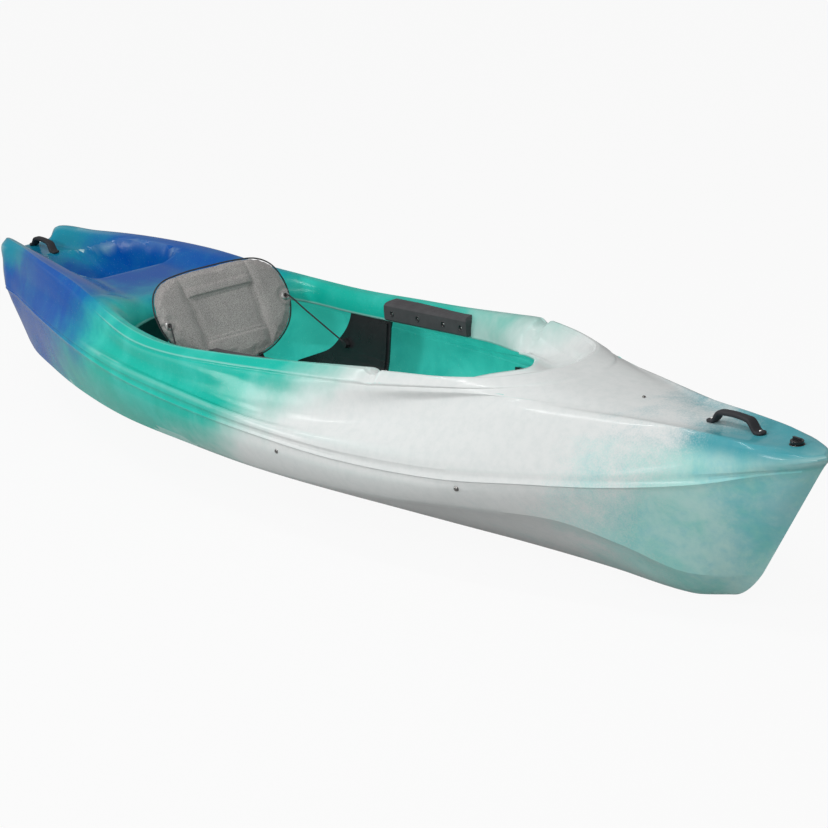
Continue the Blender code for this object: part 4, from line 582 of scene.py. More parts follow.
class Surface:
    """One procedural material, or the studio's world, and the nodes that colour it."""

    def __init__(self, name, owner=None):
        self.material = owner or bpy.data.materials.new(name)
        self.material.use_nodes = True
        self.tree = self.material.node_tree
        self.shader = self.tree.nodes.get("Principled BSDF")

    def node(self, kind, settings=None, values=None, output=0):
        """Adds a node of a type with its settings and its sockets' values or links."""
        made = self.tree.nodes.new(kind)
        for key, value in (settings or {}).items():
            if key == "stops":
                ramp = made.color_ramp
                while len(ramp.elements) < len(value):
                    ramp.elements.new(0.5)
                for element, (position, color) in zip(ramp.elements, value):
                    element.position = position
                    element.color = (*color, 1)
            else:
                setattr(made, key, value)
        for key, value in (values or {}).items():
            self.feed(made.inputs[key], value)
        return Signal(self, made.outputs[output])

    def feed(self, socket, value):
        """Links a signal to a socket, or sets the socket's own value."""
        if isinstance(value, Signal):
            self.tree.links.new(value.socket, socket)
        elif socket.type == "RGBA" and len(value) == 3:
            socket.default_value = (*value, 1)
        else:
            socket.default_value = value

    def waves(self, value, pitch):
        """A sine along a value, with one wave to each pitch."""
        turned = value * (2 * math.pi / pitch)
        return self.node("ShaderNodeMath", {"operation": "SINE"}, {0: turned})

    def position(self):
        """Position on the piece."""
        return self.node("ShaderNodeTexCoord", output="Object")

    def parts(self, vector):
        """X, Y and Z of a vector."""
        split = self.node("ShaderNodeSeparateXYZ", values={0: vector}).socket.node
        return [Signal(self, split.outputs[k]) for k in range(3)]

    def noise(self, vector, scale, detail=2.0, roughness=0.5, distortion=0.0):
        """A cloudy pattern from 0 to 1."""
        values = {"Vector": vector, "Scale": scale, "Detail": detail, "Roughness": roughness,
                  "Distortion": distortion}
        return self.node("ShaderNodeTexNoise", values=values)

    def band(self, signal, low, high):
        """A smooth rise from 0 to 1 between two values."""
        values = {"Value": signal, "From Min": low, "From Max": high}
        return self.node("ShaderNodeMapRange", {"interpolation_type": "SMOOTHSTEP"}, values)

    def mix(self, share, first, second):
        """A colour between two, by a share."""
        return self.node("ShaderNodeMix", {"data_type": "RGBA"}, {0: share, 6: first, 7: second},
                         output=2)

    def bump(self, height, distance, strength, under=None):
        """A surface raised by a height, over another one where that is given."""
        values = {"Height": height, "Distance": distance, "Strength": strength}
        if under:
            values["Normal"] = under
        return self.node("ShaderNodeBump", values=values)

    def finish(self, **values):
        """Sets or links the shader's sockets, named with underscores, and gives the material."""
        for key, value in values.items():
            self.feed(self.shader.inputs[key.replace("_", " ").title().replace("Ior", "IOR")],
                      value)
        return self.material


# Finishes
def started(name):
    """A new finish, the position on its piece and the palette."""
    made = Surface(name)
    return made, made.position(), bpy.context.scene.kayak_colours


def polyethylene(name, outside=True):
    """Glossy rotomoulded plastic, blue to teal to pale grey along the boat, cloudy at the bow, with
    painted highlights on convex edges outside and a painted glow inside.
    """
    made, spot, colours = started(name)
    x, _, z = made.parts(spot)
    broad = made.noise(spot, 2.2, 5.0, 0.58)
    cloud = made.noise(spot, 6.5, 6.0, 0.62, 0.4)
    fine = made.noise(spot, 45.0, 4.0, 0.65)
    speck = made.noise(spot, 260.0, 2.0, 0.6)
    teal = made.mix(made.band(cloud, 0.42, 0.70) * 0.6, colours.teal, colours.teal_light)
    if outside:
        along = x + (broad - 0.5) * 0.62 + (cloud - 0.5) * 0.20 + (fine - 0.5) * 0.04
        blue = made.mix(made.band(cloud, 0.45, 0.72), colours.stern_blue, colours.stern_cloud)
        high = made.band(z + x * -0.02 + (cloud - 0.5) * 0.10, 0.345, 0.415)
        tip = made.band(0 - x + (cloud - 0.5) * 0.2, 1.22, 1.42)
        blue = made.mix(high * tip * 0.85, blue, colours.deep_teal)
        color = made.mix(made.band(along - (z - 0.28) * 1.1, -1.04, -0.62), blue, teal)
        pale = made.mix(made.band(fine, 0.35, 0.75) * 0.3, colours.middle, colours.middle_shade)
        color = made.mix(made.band(along - (z - 0.27) * 1.7, -0.14, 0.30), color, pale)
        bow = made.mix(made.band(cloud, 0.38, 0.66) * 0.75, colours.bow_teal, colours.bow_pale)
        patch = made.band(broad * 0.7 + fine * 0.3, 0.46, 0.66)
        bow = made.mix(patch * 0.5, bow, colours.bow_blue)
        bow = made.mix(made.band(z, 0.345, 0.385) * 0.8, bow, colours.deep_teal)
        reach = along + (cloud - 0.5) * 0.4 - (z - 0.25) * 0.7 + (speck - 0.5) * 0.22
        color = made.mix(made.band(reach, 0.92, 1.26), color, bow)
        # Painted highlight: convex edges, found by the mesh's pointiness, are mixed towards the
        # pale bow colour
        edge = Signal(made, made.node("ShaderNodeNewGeometry", output=7).socket)
        color = made.mix(made.band(edge, 0.504, 0.54) * 0.55, color, colours.bow_pale)
    else:
        color = made.mix(made.band(cloud, 0.4, 0.7), colours.inside, colours.inside_shade)
    color = made.mix(made.band(speck, 0.62, 0.78) * 0.12, color, colours.middle)
    scuffs = made.band(made.noise(spot, 30.0, 8.0, 0.75, 1.5), 0.55, 0.7)
    worn = scuffs * made.band(0.03 - z, 0, 0.03)
    color = made.mix(worn * 0.35, color, colours.middle_shade)
    peel = made.noise(spot, 34.0, 2.0, 0.4)
    normal = made.bump(peel, 0.0011, 0.16)
    normal = made.bump(speck, 0.0002, 0.2, normal)
    rough = 0.13 + fine * 0.08 + worn * 0.3
    if outside:
        return made.finish(base_color=color, roughness=rough, normal=normal,
                           specular_ior_level=0.15)
    # Painted light: the inside glows at 0.40 of its own colour to brighten its shaded walls
    return made.finish(base_color=color, roughness=rough + 0.15, normal=normal,
                       specular_ior_level=0.16, emission_color=color, emission_strength=0.40)


def moulded_plastic(name, grain, shine):
    """Black moulded plastic with a fine grain, paler in dusty patches."""
    made, spot, colours = started(name)
    tint = made.noise(spot, 24.0, 4.0, 0.6)
    pebble = made.node("ShaderNodeTexVoronoi", {"feature": "SMOOTH_F1"},
                       {"Vector": spot, "Scale": grain, "Smoothness": 0.6})
    dust = made.band(made.noise(spot, 90.0, 5.0, 0.7), 0.52, 0.78)
    color = made.mix(tint, colours.plastic, colours.plastic_light)
    color = made.mix(dust * 0.18, color, colours.plastic_worn)
    return made.finish(base_color=color, roughness=shine + tint * 0.14 + dust * 0.08,
                       normal=made.bump(pebble, 0.00012, 0.55))


def heather_cloth(name, leaning):
    """Woven heathered cloth: two-tone yarns, a plain weave and a little fuzz."""
    made, spot, colours = started(name)
    x, y, z = made.parts(spot)
    lean = bpy.context.scene.kayak_sizes.back_lean if leaning else -math.pi / 2
    slub = made.noise(spot, 420.0, 3.0, 0.7)
    wander = (slub - 0.5) * 0.0006
    rows = z * math.cos(lean) - x * math.sin(lean)
    weave = made.waves(y + wander, 0.0016) * made.waves(rows + wander, 0.0016)
    wide = made.noise(spot, 9.0, 3.0, 0.5)
    drawn = made.node("ShaderNodeMapping", values={"Vector": spot, "Scale": (1, 1, 3.5)})
    yarn = made.noise(drawn, 330.0, 3.0, 0.8)
    color = made.mix(made.band(yarn, 0.36, 0.66), colours.cloth_dark, colours.cloth_light)
    color = made.mix(made.band(weave, -0.9, 0.9) * 0.25, color, colours.cloth)
    color = made.mix(made.band(wide, 0.4, 0.7) * 0.25, color, colours.cloth_dark)
    return made.finish(base_color=color, roughness=0.86 + slub * 0.1,
                       normal=made.bump(weave * 0.5 + slub * 0.8, 0.00035, 0.7),
                       sheen_weight=0.25, sheen_roughness=0.45, specular_ior_level=0.25)


def braided_cord(name):
    """Black cord with a crossing braid."""
    made, spot, colours = started(name)
    x, y, z = made.parts(spot)
    left = made.waves(z + y * 0.7 - x * 0.5, 0.0024)
    right = made.waves(z - y * 0.7 - x * 0.5, 0.0024)
    braid = left * right
    fuzz = made.noise(spot, 700.0, 3.0, 0.7)
    color = made.mix(made.band(braid, -0.6, 0.8), colours.plastic, colours.plastic_worn)
    return made.finish(base_color=color, roughness=0.7 + fuzz * 0.2,
                       normal=made.bump(braid + fuzz * 0.6, 0.0003, 0.8))


def brushed_steel(name, dark=False):
    """Stainless steel with fine turning marks and a few dull spots."""
    made, spot, colours = started(name)
    drawn = made.node("ShaderNodeMapping", values={"Vector": spot, "Scale": (1, 1, 9)})
    marks = made.noise(drawn, 500.0, 3.0, 0.6)
    dull = made.band(made.noise(spot, 160.0, 4.0, 0.7), 0.5, 0.75)
    bright, dim = colours.steel, colours.steel_dull
    if dark:
        bright, dim = colours.steel_dull, colours.plastic_worn
    color = made.mix(dull * 0.4, bright, dim)
    return made.finish(base_color=color, metallic=1.0, roughness=0.24 + marks * 0.14 + dull * 0.2,
                       normal=made.bump(marks, 0.00005, 0.4))


def rubber(name):
    """Matt black rubber with a dusty bloom."""
    made, spot, colours = started(name)
    bloom = made.noise(spot, 220.0, 5.0, 0.7)
    color = made.mix(made.band(bloom, 0.5, 0.8) * 0.4, colours.plastic, colours.plastic_worn)
    return made.finish(base_color=color, roughness=0.72 + bloom * 0.18,
                       normal=made.bump(bloom, 0.0001, 0.4))


def closed_cell_foam(name):
    """Dark foam cut from block, with small open cells at its skin."""
    made, spot, colours = started(name)
    cells = made.node("ShaderNodeTexVoronoi", values={"Vector": spot, "Scale": 330.0})
    patch = made.noise(spot, 14.0, 3.0, 0.6)
    color = made.mix(patch, colours.foam, colours.plastic_worn)
    # Painted shade: the pits of the open cells, sunk by the bump below, are painted darker
    color = made.mix(made.band(cells, 0.0, 0.35), colours.plastic, color)
    return made.finish(base_color=color, roughness=0.85 + patch * 0.1,
                       normal=made.bump(cells, 0.0006, 0.7))


def charcoal_pad(name):
    """Charcoal rubbery plastic with a fine pebble grain and a dusty bloom."""
    made, spot, colours = started(name)
    broad = made.noise(spot, 20.0, 4.0, 0.6)
    pebble = made.node("ShaderNodeTexVoronoi", values={"Vector": spot, "Scale": 700.0})
    dust = made.band(made.noise(spot, 130.0, 5.0, 0.7), 0.5, 0.8)
    color = made.mix(broad, colours.thigh, colours.plastic_light)
    color = made.mix(dust * 0.3, color, colours.plastic_worn)
    return made.finish(base_color=color, roughness=0.5 + broad * 0.16 + dust * 0.1,
                       normal=made.bump(pebble, 0.00015, 0.6))


def sewing_thread(name):
    """Twisted grey sewing thread."""
    made, spot, colours = started(name)
    x, y, z = made.parts(spot)
    twist = made.waves(x + y + z, 0.0006)
    color = made.mix(made.band(twist, -1, 1), colours.cloth_dark, colours.cloth_light)
    return made.finish(base_color=color, roughness=0.7 + twist * 0.1,
                       normal=made.bump(twist, 0.0001, 0.6))


FINISHES = {
    "shell_outside": (polyethylene,), "shell_inside": (polyethylene, False),
    "grained_plastic": (moulded_plastic, 900.0, 0.36),
    "satin_plastic": (moulded_plastic, 1500.0, 0.22),
    "handle_plastic": (moulded_plastic, 1200.0, 0.26),
    "thigh_rubber": (charcoal_pad,), "rubber": (rubber,), "foam": (closed_cell_foam,),
    "back_cloth": (heather_cloth, True), "seat_cloth": (heather_cloth, False),
    "thread": (sewing_thread,), "braided_cord": (braided_cord,),
    "steel": (brushed_steel,), "dark_steel": (brushed_steel, True),
}


def finish_named(name):
    """A finish of the kayak, made the first time that it is asked for."""
    maker, *settings = FINISHES[name]
    return bpy.data.materials.get(name) or maker(name, *settings)


# Shapes
def put(name, data):
    """An object of some data, in the scene."""
    thing = bpy.data.objects.new(name, data)
    bpy.context.scene.collection.objects.link(thing)
    return thing


def new_piece(name, bm, *finishes, sharp=180):
    """An object of a mesh, smooth but for its sharp edges, with its finishes."""
    mesh = bpy.data.meshes.new(name)
    bm.to_mesh(mesh)
    bm.free()
    mesh.shade_smooth()
    if sharp < 180:
        mesh.set_sharp_from_angle(angle=math.radians(sharp))
    for finish in finishes:
        mesh.materials.append(finish_named(finish))
    return put(name, mesh)


def modify(piece, kind, **settings):
    """Adds a modifier with its settings."""
    step = piece.modifiers.new(kind.title(), kind)
    for key, value in settings.items():
        setattr(step, key, value)
    return step


def bake(piece):
    """Turns a piece's modifiers into its mesh."""
    graph = bpy.context.evaluated_depsgraph_get()
    mesh = bpy.data.meshes.new_from_object(piece.evaluated_get(graph), depsgraph=graph)
    piece.modifiers.clear()
    old = piece.data
    mesh.name = old.name
    piece.data = mesh
    bpy.data.meshes.remove(old)
    return piece


def turns(count):
    """Angles that share out a full turn."""
    return [2 * math.pi * k / count for k in range(count)]


def skin(bm, rings, closed=False):
    """Faces from ring to ring, capped or joined end to end, all pointing out."""
    for r0, r1 in zip(rings, rings[1:] + rings[:1] if closed else rings[1:]):
        for corners in zip(r0, r0[1:] + r0[:1], r1[1:] + r1[:1], r1):
            bm.faces.new(corners)
    if not closed:
        bm.faces.new(rings[0][::-1])
        bm.faces.new(rings[-1])
    bmesh.ops.recalc_face_normals(bm, faces=bm.faces)
    return bm


def tube(points, radius, sides, closed=False, side_hint=(0, 1, 0)):
    """A tube along points, capped or joined into a ring; its radius may change along it."""
    bm = bmesh.new()
    rings = []
    spots = [Vector(p) for p in points]
    last = len(spots) - 1
    for k, spot in enumerate(spots):
        ahead = spots[(k + 1) % len(spots)] if closed else spots[min(k + 1, last)]
        behind = spots[k - 1] if closed else spots[max(k - 1, 0)]
        along = (ahead - behind).normalized()
        across = Vector(side_hint) - along * Vector(side_hint).dot(along)
        across.normalize()
        other = along.cross(across)
        size = radius(k / last) if callable(radius) else radius
        rings.append([bm.verts.new(spot + (across * math.cos(turn) + other * math.sin(turn)) * size)
                      for turn in turns(sides)])
    return skin(bm, rings, closed)


def pillow(radius_at, front, back, matrix):
    """A pad: a grid drawn out to a rounded outline, with a face on either side of its seam."""
    bm = bmesh.new()
    lines = [math.sin(math.pi / 2 * k / PAD_STEPS) for k in range(-PAD_STEPS, PAD_STEPS + 1)]
    faces = {}
    for side, height in (("front", front), ("back", back)):
        rows = []
        for t in lines:
            row = []
            for s in lines:
                across = s * math.sqrt(1 - t * t / 2)
                up = t * math.sqrt(1 - s * s / 2)
                share = min(1.0, math.hypot(across, up))
                angle = math.atan2(up, across)
                reach = share * radius_at(angle)
                a, b = reach * math.cos(angle), reach * math.sin(angle)
                edge = abs(s) == 1 or abs(t) == 1
                if edge and side == "back":
                    row.append(faces["front"][len(rows)][len(row)])
                else:
                    spot = matrix @ Vector((a, b, height(a, b, 1.0 if edge else share)))
                    row.append(bm.verts.new(spot))
            rows.append(row)
        faces[side] = rows
        for r0, r1 in zip(rows, rows[1:]):
            for quad in zip(r0, r0[1:], r1[1:], r1):
                bm.faces.new(quad if side == "front" else quad[::-1])
    return bm


def swell(piece, out, may_move):
    """Fills a sewn cover by cloth pressure, each point moving out no further than its share."""
    modify(piece, "REMESH", mode="VOXEL", voxel_size=PAD_GRAIN, use_smooth_shade=True)
    bake(piece)
    start = np.array([v.co[:] for v in piece.data.vertices])
    cloth = modify(piece, "CLOTH")
    settings = {"quality": 6, "mass": 0.15, "tension_stiffness": 12,
                "compression_stiffness": 12, "bending_stiffness": 0.6,
                "use_pressure": True, "uniform_pressure_force": 4}
    for key, value in settings.items():
        setattr(cloth.settings, key, value)
    cloth.settings.effector_weights.gravity = 0
    cloth.collision_settings.use_collision = False
    cloth.collision_settings.use_self_collision = False
    cloth.point_cache.frame_start = 1
    cloth.point_cache.frame_end = PAD_FRAMES
    for number in range(1, PAD_FRAMES + 1):
        bpy.context.scene.frame_set(number)
    bake(piece)
    bpy.context.scene.frame_set(1)
    for vert, first in zip(piece.data.vertices, start):
        first = Vector(first)
        step = vert.co - first
        outward = out * step.dot(out)
        step = outward + (step - outward) * 0.1
        cap = bpy.context.scene.kayak_sizes.puff * may_move(first)
        if step.length > cap:
            step = step.normalized() * cap
        vert.co = first + step
    modify(piece, "SUBSURF", levels=1, render_levels=1)
    bake(piece)


def reshape(piece, move):
    """Moves each point of a piece's mesh by a rule."""
    for vert in piece.data.vertices:
        vert.co = move(vert.co.copy())
    piece.data.update()


def ready(piece, body, slot, *stands_for):
    """Gives a piece its body and hides the nodes that it stands for; its slot is not used."""
    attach(piece, body)
    if stands_for:
        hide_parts(*stands_for)


def seat_section(x):
    """Inner face of the seat moulding across the boat: floor, hip and hanger."""
    floor = SEAT_FLOOR + SEAT_RISE * rise(x, *SEAT_ENDS)
    points = [(0, floor), (0.45, floor + 0.002), (0.78, floor + 0.008), (0.97, floor + 0.026),
              (1.09, floor + 0.062), (1.17, 0.195), (1.225, 0.25), (1.265, 0.300),
              (1.275, 0.322), (1.275, 0.352)]
    return spline([(x, SEAT_HALF * share, z) for share, z in points])


def seat_height(x, y):
    """Top of the seat's floor."""
    dense = seat_section(x)
    return float(np.interp(abs(y), dense[:, 1], dense[:, 2]))


def cleat_seat(hand):
    """Where a cord's cleat stands on the seat's hip, and the way inboard there."""
    spot = place(*CLEAT)
    curve = seat_section(spot.x)[SAMPLES // 2:]
    hip, below, above = np.interp((spot.z, spot.z - 0.01, spot.z + 0.01), curve[:, 2], curve[:, 1])
    inward = Vector((0, -hand, (above - below) / 0.02)).normalized()
    return Vector((spot.x, hand * float(hip), spot.z)), inward


def dress(node, finish, edge=0.0):
    """Gives a node of the frame its finish, and softens its edges."""
    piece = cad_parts[node]
    for holder in piece.material_slots:
        holder.material = finish_named(finish)
    if edge:
        modify(piece, "BEVEL", width=edge, segments=2, limit_method="ANGLE",
               angle_limit=math.radians(38), harden_normals=False)


def back_frame():
    """Backrest frame: X to port, Y up its face, Z out of its face, at the foot of the pad."""
    lean = bpy.context.scene.kayak_sizes.back_lean
    out = Vector((math.cos(lean), 0, math.sin(lean)))
    across = Vector((0, 1, 0))
    turn = Matrix((across, out.cross(across), out)).transposed().to_4x4()
    return Matrix.Translation(place(*BACK_FOOT)) @ turn


def groove(distance, width, depth):
    """Height of a round groove at a distance from its middle."""
    return -depth * math.exp(-(distance / width) ** 2)


def back_outline(inset):
    """The backrest's outline round its middle, drawn in by an inset."""
    sizes = bpy.context.scene.kayak_sizes
    width, height = sizes.back_width / 2 - inset, sizes.back_height - 2 * inset
    half = [(p[1] * height - height / 2, p[0] * width, 0) for p in BACK_OUTLINE]
    dense = [(p[1], p[0]) for p in spline(half, True, True)[::SAMPLES // 6]]
    return dense + [(-p[0], p[1]) for p in dense[-2:0:-1]]


def outline_radius(points):
    """Radius of a closed outline round its centre, by angle."""
    angles = np.unwrap([math.atan2(p[1], p[0]) for p in points])
    radii = [math.hypot(p[0], p[1]) for p in points]
    return lambda angle: float(np.interp(angle % (2 * math.pi), angles, radii, period=2 * math.pi))


def back_seam(b):
    """Half the width of the backrest's centre, at a height on its face."""
    sizes = bpy.context.scene.kayak_sizes
    return sizes.back_width / 2 * (0.45 + 0.07 * b / sizes.back_height)


def back_relief(a, b):
    """Seams, sunk centre panel and raised bar of the backrest's face."""
    height = bpy.context.scene.kayak_sizes.back_height
    seam = back_seam(b)
    foot, head, bar = BACK_PANEL[0] * height, BACK_PANEL[1] * height, BACK_BAR * height
    inside = rise(abs(a), seam + 0.004, seam - 0.010)
    relief = groove(abs(a) - seam, 0.0045, 0.0035)
    relief += inside * (groove(b - foot, 0.004, 0.0035) + groove(b - head, 0.003, 0.002))
    panel = rise(b, foot, foot + 0.010) * rise(b, head, head - 0.006)
    raised = rise(b, head, head + 0.006) * rise(b, bar, bar - 0.012)
    return relief + inside * (raised * 0.0035 - panel * 0.0045 - 0.0025)


def eyelet_spots():
    """Seats of the two cord eyelets on the backrest's face."""
    spots = []
    for side, hand in SIDES:
        low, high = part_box(f"backrest_eyelet_{side}")
        middle = back_frame().inverted() @ ((low + high) / 2)
        spots.append(Vector((hand * EYELET_SIDE, EYELET_HEIGHT, middle.z + 0.0022)))
    return spots


def stitches(lines):
    """Short raised stitches along lines of points, each with the surface's normal."""
    bm = bmesh.new()
    for points in lines:
        run = 0.0
        for (here, up), (ahead, _) in zip(points, points[1:]):
            step = ahead - here
            run += step.length
            if run < STITCH * 1.5 or step.length < 1e-6:
                continue
            run = 0.0
            along = step.normalized() * STITCH / 2
            side = along.cross(up).normalized() * STITCH * 0.17
            lift = up * STITCH * 0.2
            foot = [bm.verts.new(end + side * way - lift * 0.5)
                    for end in (here - along, here + along) for way in (-1, 1)]
            top = [bm.verts.new(here + along * way + lift) for way in (-0.55, 0.55)]
            for corners in ((foot[0], foot[1], top[0]), (foot[2], top[1], foot[3]),
                            (foot[0], top[0], top[1], foot[2]),
                            (foot[1], foot[3], top[1], top[0]),
                            (foot[0], foot[2], foot[3], foot[1])):
                bm.faces.new(corners)
    bmesh.ops.recalc_face_normals(bm, faces=bm.faces)
    return bm


def sew(name, pad, rows, way, body):
    """Stitches on a pad, where rows of rays meet it."""
    tree = BVHTree.FromObject(pad, bpy.context.evaluated_depsgraph_get())
    hits = [[tree.ray_cast(start, way) for start in row] for row in rows]
    lines = [[hit[:2] for hit in row if hit[0]] for row in hits]
    ready(new_piece(name, stitches(lines), "thread", sharp=60), body, "grey_fabric")


def bind(name, rim, radius, up, body):
    """A corded binding round the edge of a pad."""
    shape = tube(rim, radius, 10, closed=True, side_hint=up)
    ready(new_piece(name, shape, "braided_cord"), body, "black_cord")


def shell_tree():
    """The moulded shell's bare surface, for rays to meet."""
    mesh = bpy.data.objects["moulded_shell"].data
    return BVHTree.FromPolygons([v.co for v in mesh.vertices], [p.vertices for p in mesh.polygons])


def knot_radius(share):
    """Radius of a cord's knot at a share of its length."""
    return KNOT_RADII[0] + KNOT_RADII[1] * math.sin(math.pi * share) ** 0.5


class KAYAK_OT_cords(bpy.types.Operator):
    """Cords from the backrest's eyelets to the cleats on the seat's hips"""
    bl_idname = "kayak.cords"
    bl_label = "Backrest Cords"

    def execute(self, context):
        radius = context.scene.kayak_sizes.cord / 2
        for (side, hand), spot in zip(SIDES, eyelet_spots()):
            seat = back_frame() @ Matrix.Translation(spot)
            base, inward = cleat_seat(hand)
            end = base + inward * CORD_STAND
            bend = seat @ Vector((CORD_BEND[0] * hand, *CORD_BEND[1:]))
            way = (end - bend).normalized()
            route = [seat @ Vector((0, 0, -0.008)), seat @ Vector((0, 0, 0.002)), bend,
                     bend.lerp(end, 0.35), bend.lerp(end, 0.7), end, end + way * 0.007]
            points = by_length(spline(route), np.linspace(0, 1, 61))
            cord = new_piece(f"cord_{side}", tube(points, radius, 14), "braided_cord")
            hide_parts(f"backrest_cord_{side}")
            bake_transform(cord)
            knot = [end + way * (0.006 + KNOT_STEP * k) for k in range(8)]
            knot = new_piece(f"cord_knot_{side}", tube(knot, knot_radius, 14), "braided_cord",
                             sharp=40)
            ready(knot, "root", "black_cord")
        return {"FINISHED"}


class KAYAK_OT_shell(bpy.types.Operator):
    """The one-piece shell: bottom, sides, deck, coaming, cargo well and cockpit's inner wall"""
    bl_idname = "kayak.shell"
    bl_label = "Moulded Shell"

    def execute(self, context):
        sizes = context.scene.kayak_sizes
        shell = new_piece("moulded_shell", shell_mesh(sizes.shell_finer), "shell_outside",
                          "shell_inside")
        modify(shell, "BEVEL", width=SHELL_EDGE, segments=3, limit_method="ANGLE",
               angle_limit=math.radians(20), use_clamp_overlap=True)
        modify(shell, "SOLIDIFY", thickness=sizes.wall, offset=-1, use_even_offset=False,
               use_rim=True, material_offset=1, material_offset_rim=0)
        modify(shell, "WEIGHTED_NORMAL", keep_sharp=False, weight=40)
        ready(shell, "root", "moulded_shell", "hull_shell")
        return {"FINISHED"}


class KAYAK_OT_backrest(bpy.types.Operator):
    """Padded backrest with its sewn panels, edge binding, stitching, panel and eyelets"""
    bl_idname = "kayak.backrest"
    bl_label = "Backrest"

    def execute(self, context):
        sizes = context.scene.kayak_sizes
        thick, height = sizes.back_thick, sizes.back_height
        seam_level = BACK_SEAM * thick
        frame_at = back_frame()
        back = frame_at.inverted()
        out = frame_at.to_3x3() @ Vector((0, 0, 1))
        centre = frame_at @ Matrix.Translation((0, height / 2, 0))

        def front(a, b, share):
            return seam_level + BACK_FACE * thick * (1 - share ** 4) ** 0.5

        def rear(a, b, share):
            return seam_level - BACK_REAR * thick * (1 - share ** 8) ** 0.5

        shape = pillow(outline_radius(back_outline(0.002)), front, rear, centre)
        pad = new_piece("backrest_cover", shape, "back_cloth")

        def may_move(spot):
            local = back @ spot
            return min(1.0, 0.35 + abs(abs(local.x) - back_seam(local.y)) / 0.03)

        swell(pad, out, may_move)
        eyelets = eyelet_spots()

        def settle(spot):
            local = back @ spot
            local.z = max(local.z, -0.7 * thick + 0.0002)
            if local.z > seam_level:
                over = rise(local.z, seam_level, 0)
                local.z += over * back_relief(local.x, local.y)
                wave = math.sin(local.y * 90 + 3 * math.sin(local.x * 31))
                near = math.exp(-((abs(local.x) - back_seam(local.y)) / 0.022) ** 2)
                local.z += over * 0.0008 * wave * near
                for seat in eyelets:
                    gap = math.hypot(local.x - seat.x, local.y - seat.y)
                    sunk = seat.z - (0.0005 if gap > 0.006 else 0.006)
                    local.z += (sunk - local.z) * rise(gap, 0.0295, 0.0135)
            return frame_at @ local

        reshape(pad, settle)
        ready(pad, "backrest", "grey_fabric", "backrest_pad")
        rim = [centre @ Vector((a, b, seam_level)) for a, b in back_outline(0.0016)]
        bind("backrest_binding", rim, 0.0019, out, "backrest")
        rows = [[(hand * (back_seam(b) + shift), b)
                 for b in np.linspace(0.02, height - 0.012, 260)]
                for hand in (1, -1) for shift in (-0.0065, 0.0065)]
        for level in (BACK_PANEL[0] * height - 0.006, BACK_PANEL[1] * height + 0.005):
            reach = back_seam(level) - 0.01
            rows.append([(a, level) for a in np.linspace(-reach, reach, 200)])
        starts = [[frame_at @ Vector((a, b, 0.1)) for a, b in row] for row in rows]
        sew("backrest_stitching", pad, starts, -out, "backrest")
        dress("backrest_panel", "grained_plastic", 0.0012)
        for side, _ in SIDES:
            dress(f"backrest_eyelet_{side}", "steel", 0.0004)
            dress(f"backrest_pin_{side}", "steel", 0.0004)
        return {"FINISHED"}


class KAYAK_OT_seat(bpy.types.Operator):
    """Seat moulding, its cord cleats and its crowned cushion with sewn channels"""
    bl_idname = "kayak.seat"
    bl_label = "Seat"

    def execute(self, context):
        sizes = context.scene.kayak_sizes
        dress("seat_pan", "satin_plastic", 0.0015)
        for side, _ in SIDES:
            dress(f"cord_cleat_{side}", "grained_plastic", 0.0010)
        low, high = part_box("seat_cushion")
        middle = (low.x + high.x) / 2
        thick = sizes.cushion_thick
        channels = [middle + share * sizes.cushion_length for share in CHANNELS]

        def radius(angle):
            ways = ((math.cos(angle), sizes.cushion_length), (math.sin(angle), sizes.cushion_width))
            return sum((abs(way) / (size / 2 - 0.004)) ** 5 for way, size in ways) ** (-1 / 5)

        def base(a, b):
            return seat_height(middle + a, b) + CUSHION_GAP

        def under(a, b, share):
            return base(a, b) + thick * CUSHION_SEAM * (1 - (1 - share ** 8) ** 0.5)

        def over(a, b, share):
            return base(a, b) + thick * (CUSHION_SEAM + CUSHION_CROWN * (1 - share ** 4) ** 0.5)

        shape = pillow(radius, over, under, Matrix.Translation((middle, 0, 0)))
        pad = new_piece("seat_cover", shape, "seat_cloth")

        def may_move(spot):
            return min(1.0, 0.4 + min(abs(spot.x - channel) for channel in channels) / 0.03)

        swell(pad, Vector((0, 0, 1)), may_move)

        def settle(spot):
            floor = base(spot.x - middle, spot.y)
            spot.z = max(spot.z, floor)
            upper = rise(spot.z - floor, thick * 0.5, thick * 0.7)
            for channel in channels:
                spot.z += upper * groove(spot.x - channel, 0.0045, 0.005)
            spot.z += upper * 0.0006 * math.sin(spot.y * 120 + 2 * math.sin(spot.x * 50))
            spot.z = min(spot.z, floor + thick + 0.004)
            return spot

        reshape(pad, settle)
        ready(pad, "root", "grey_fabric", "seat_cushion")
        rim = []
        for turn in turns(160):
            reach = radius(turn) + 0.0022
            a, b = reach * math.cos(turn), reach * math.sin(turn)
            rim.append((middle + a, b, base(a, b) + thick * CUSHION_SEAM))
        bind("seat_binding", rim, 0.0024, (0, 0, 1), "root")
        reach = sizes.cushion_width / 2 - 0.015
        rows = [[Vector((channel + shift, y, 0.4)) for y in np.linspace(-reach, reach, 260)]
                for channel in channels for shift in (-0.006, 0.006)]
        sew("seat_stitching", pad, rows, Vector((0, 0, -1)), "root")
        return {"FINISHED"}


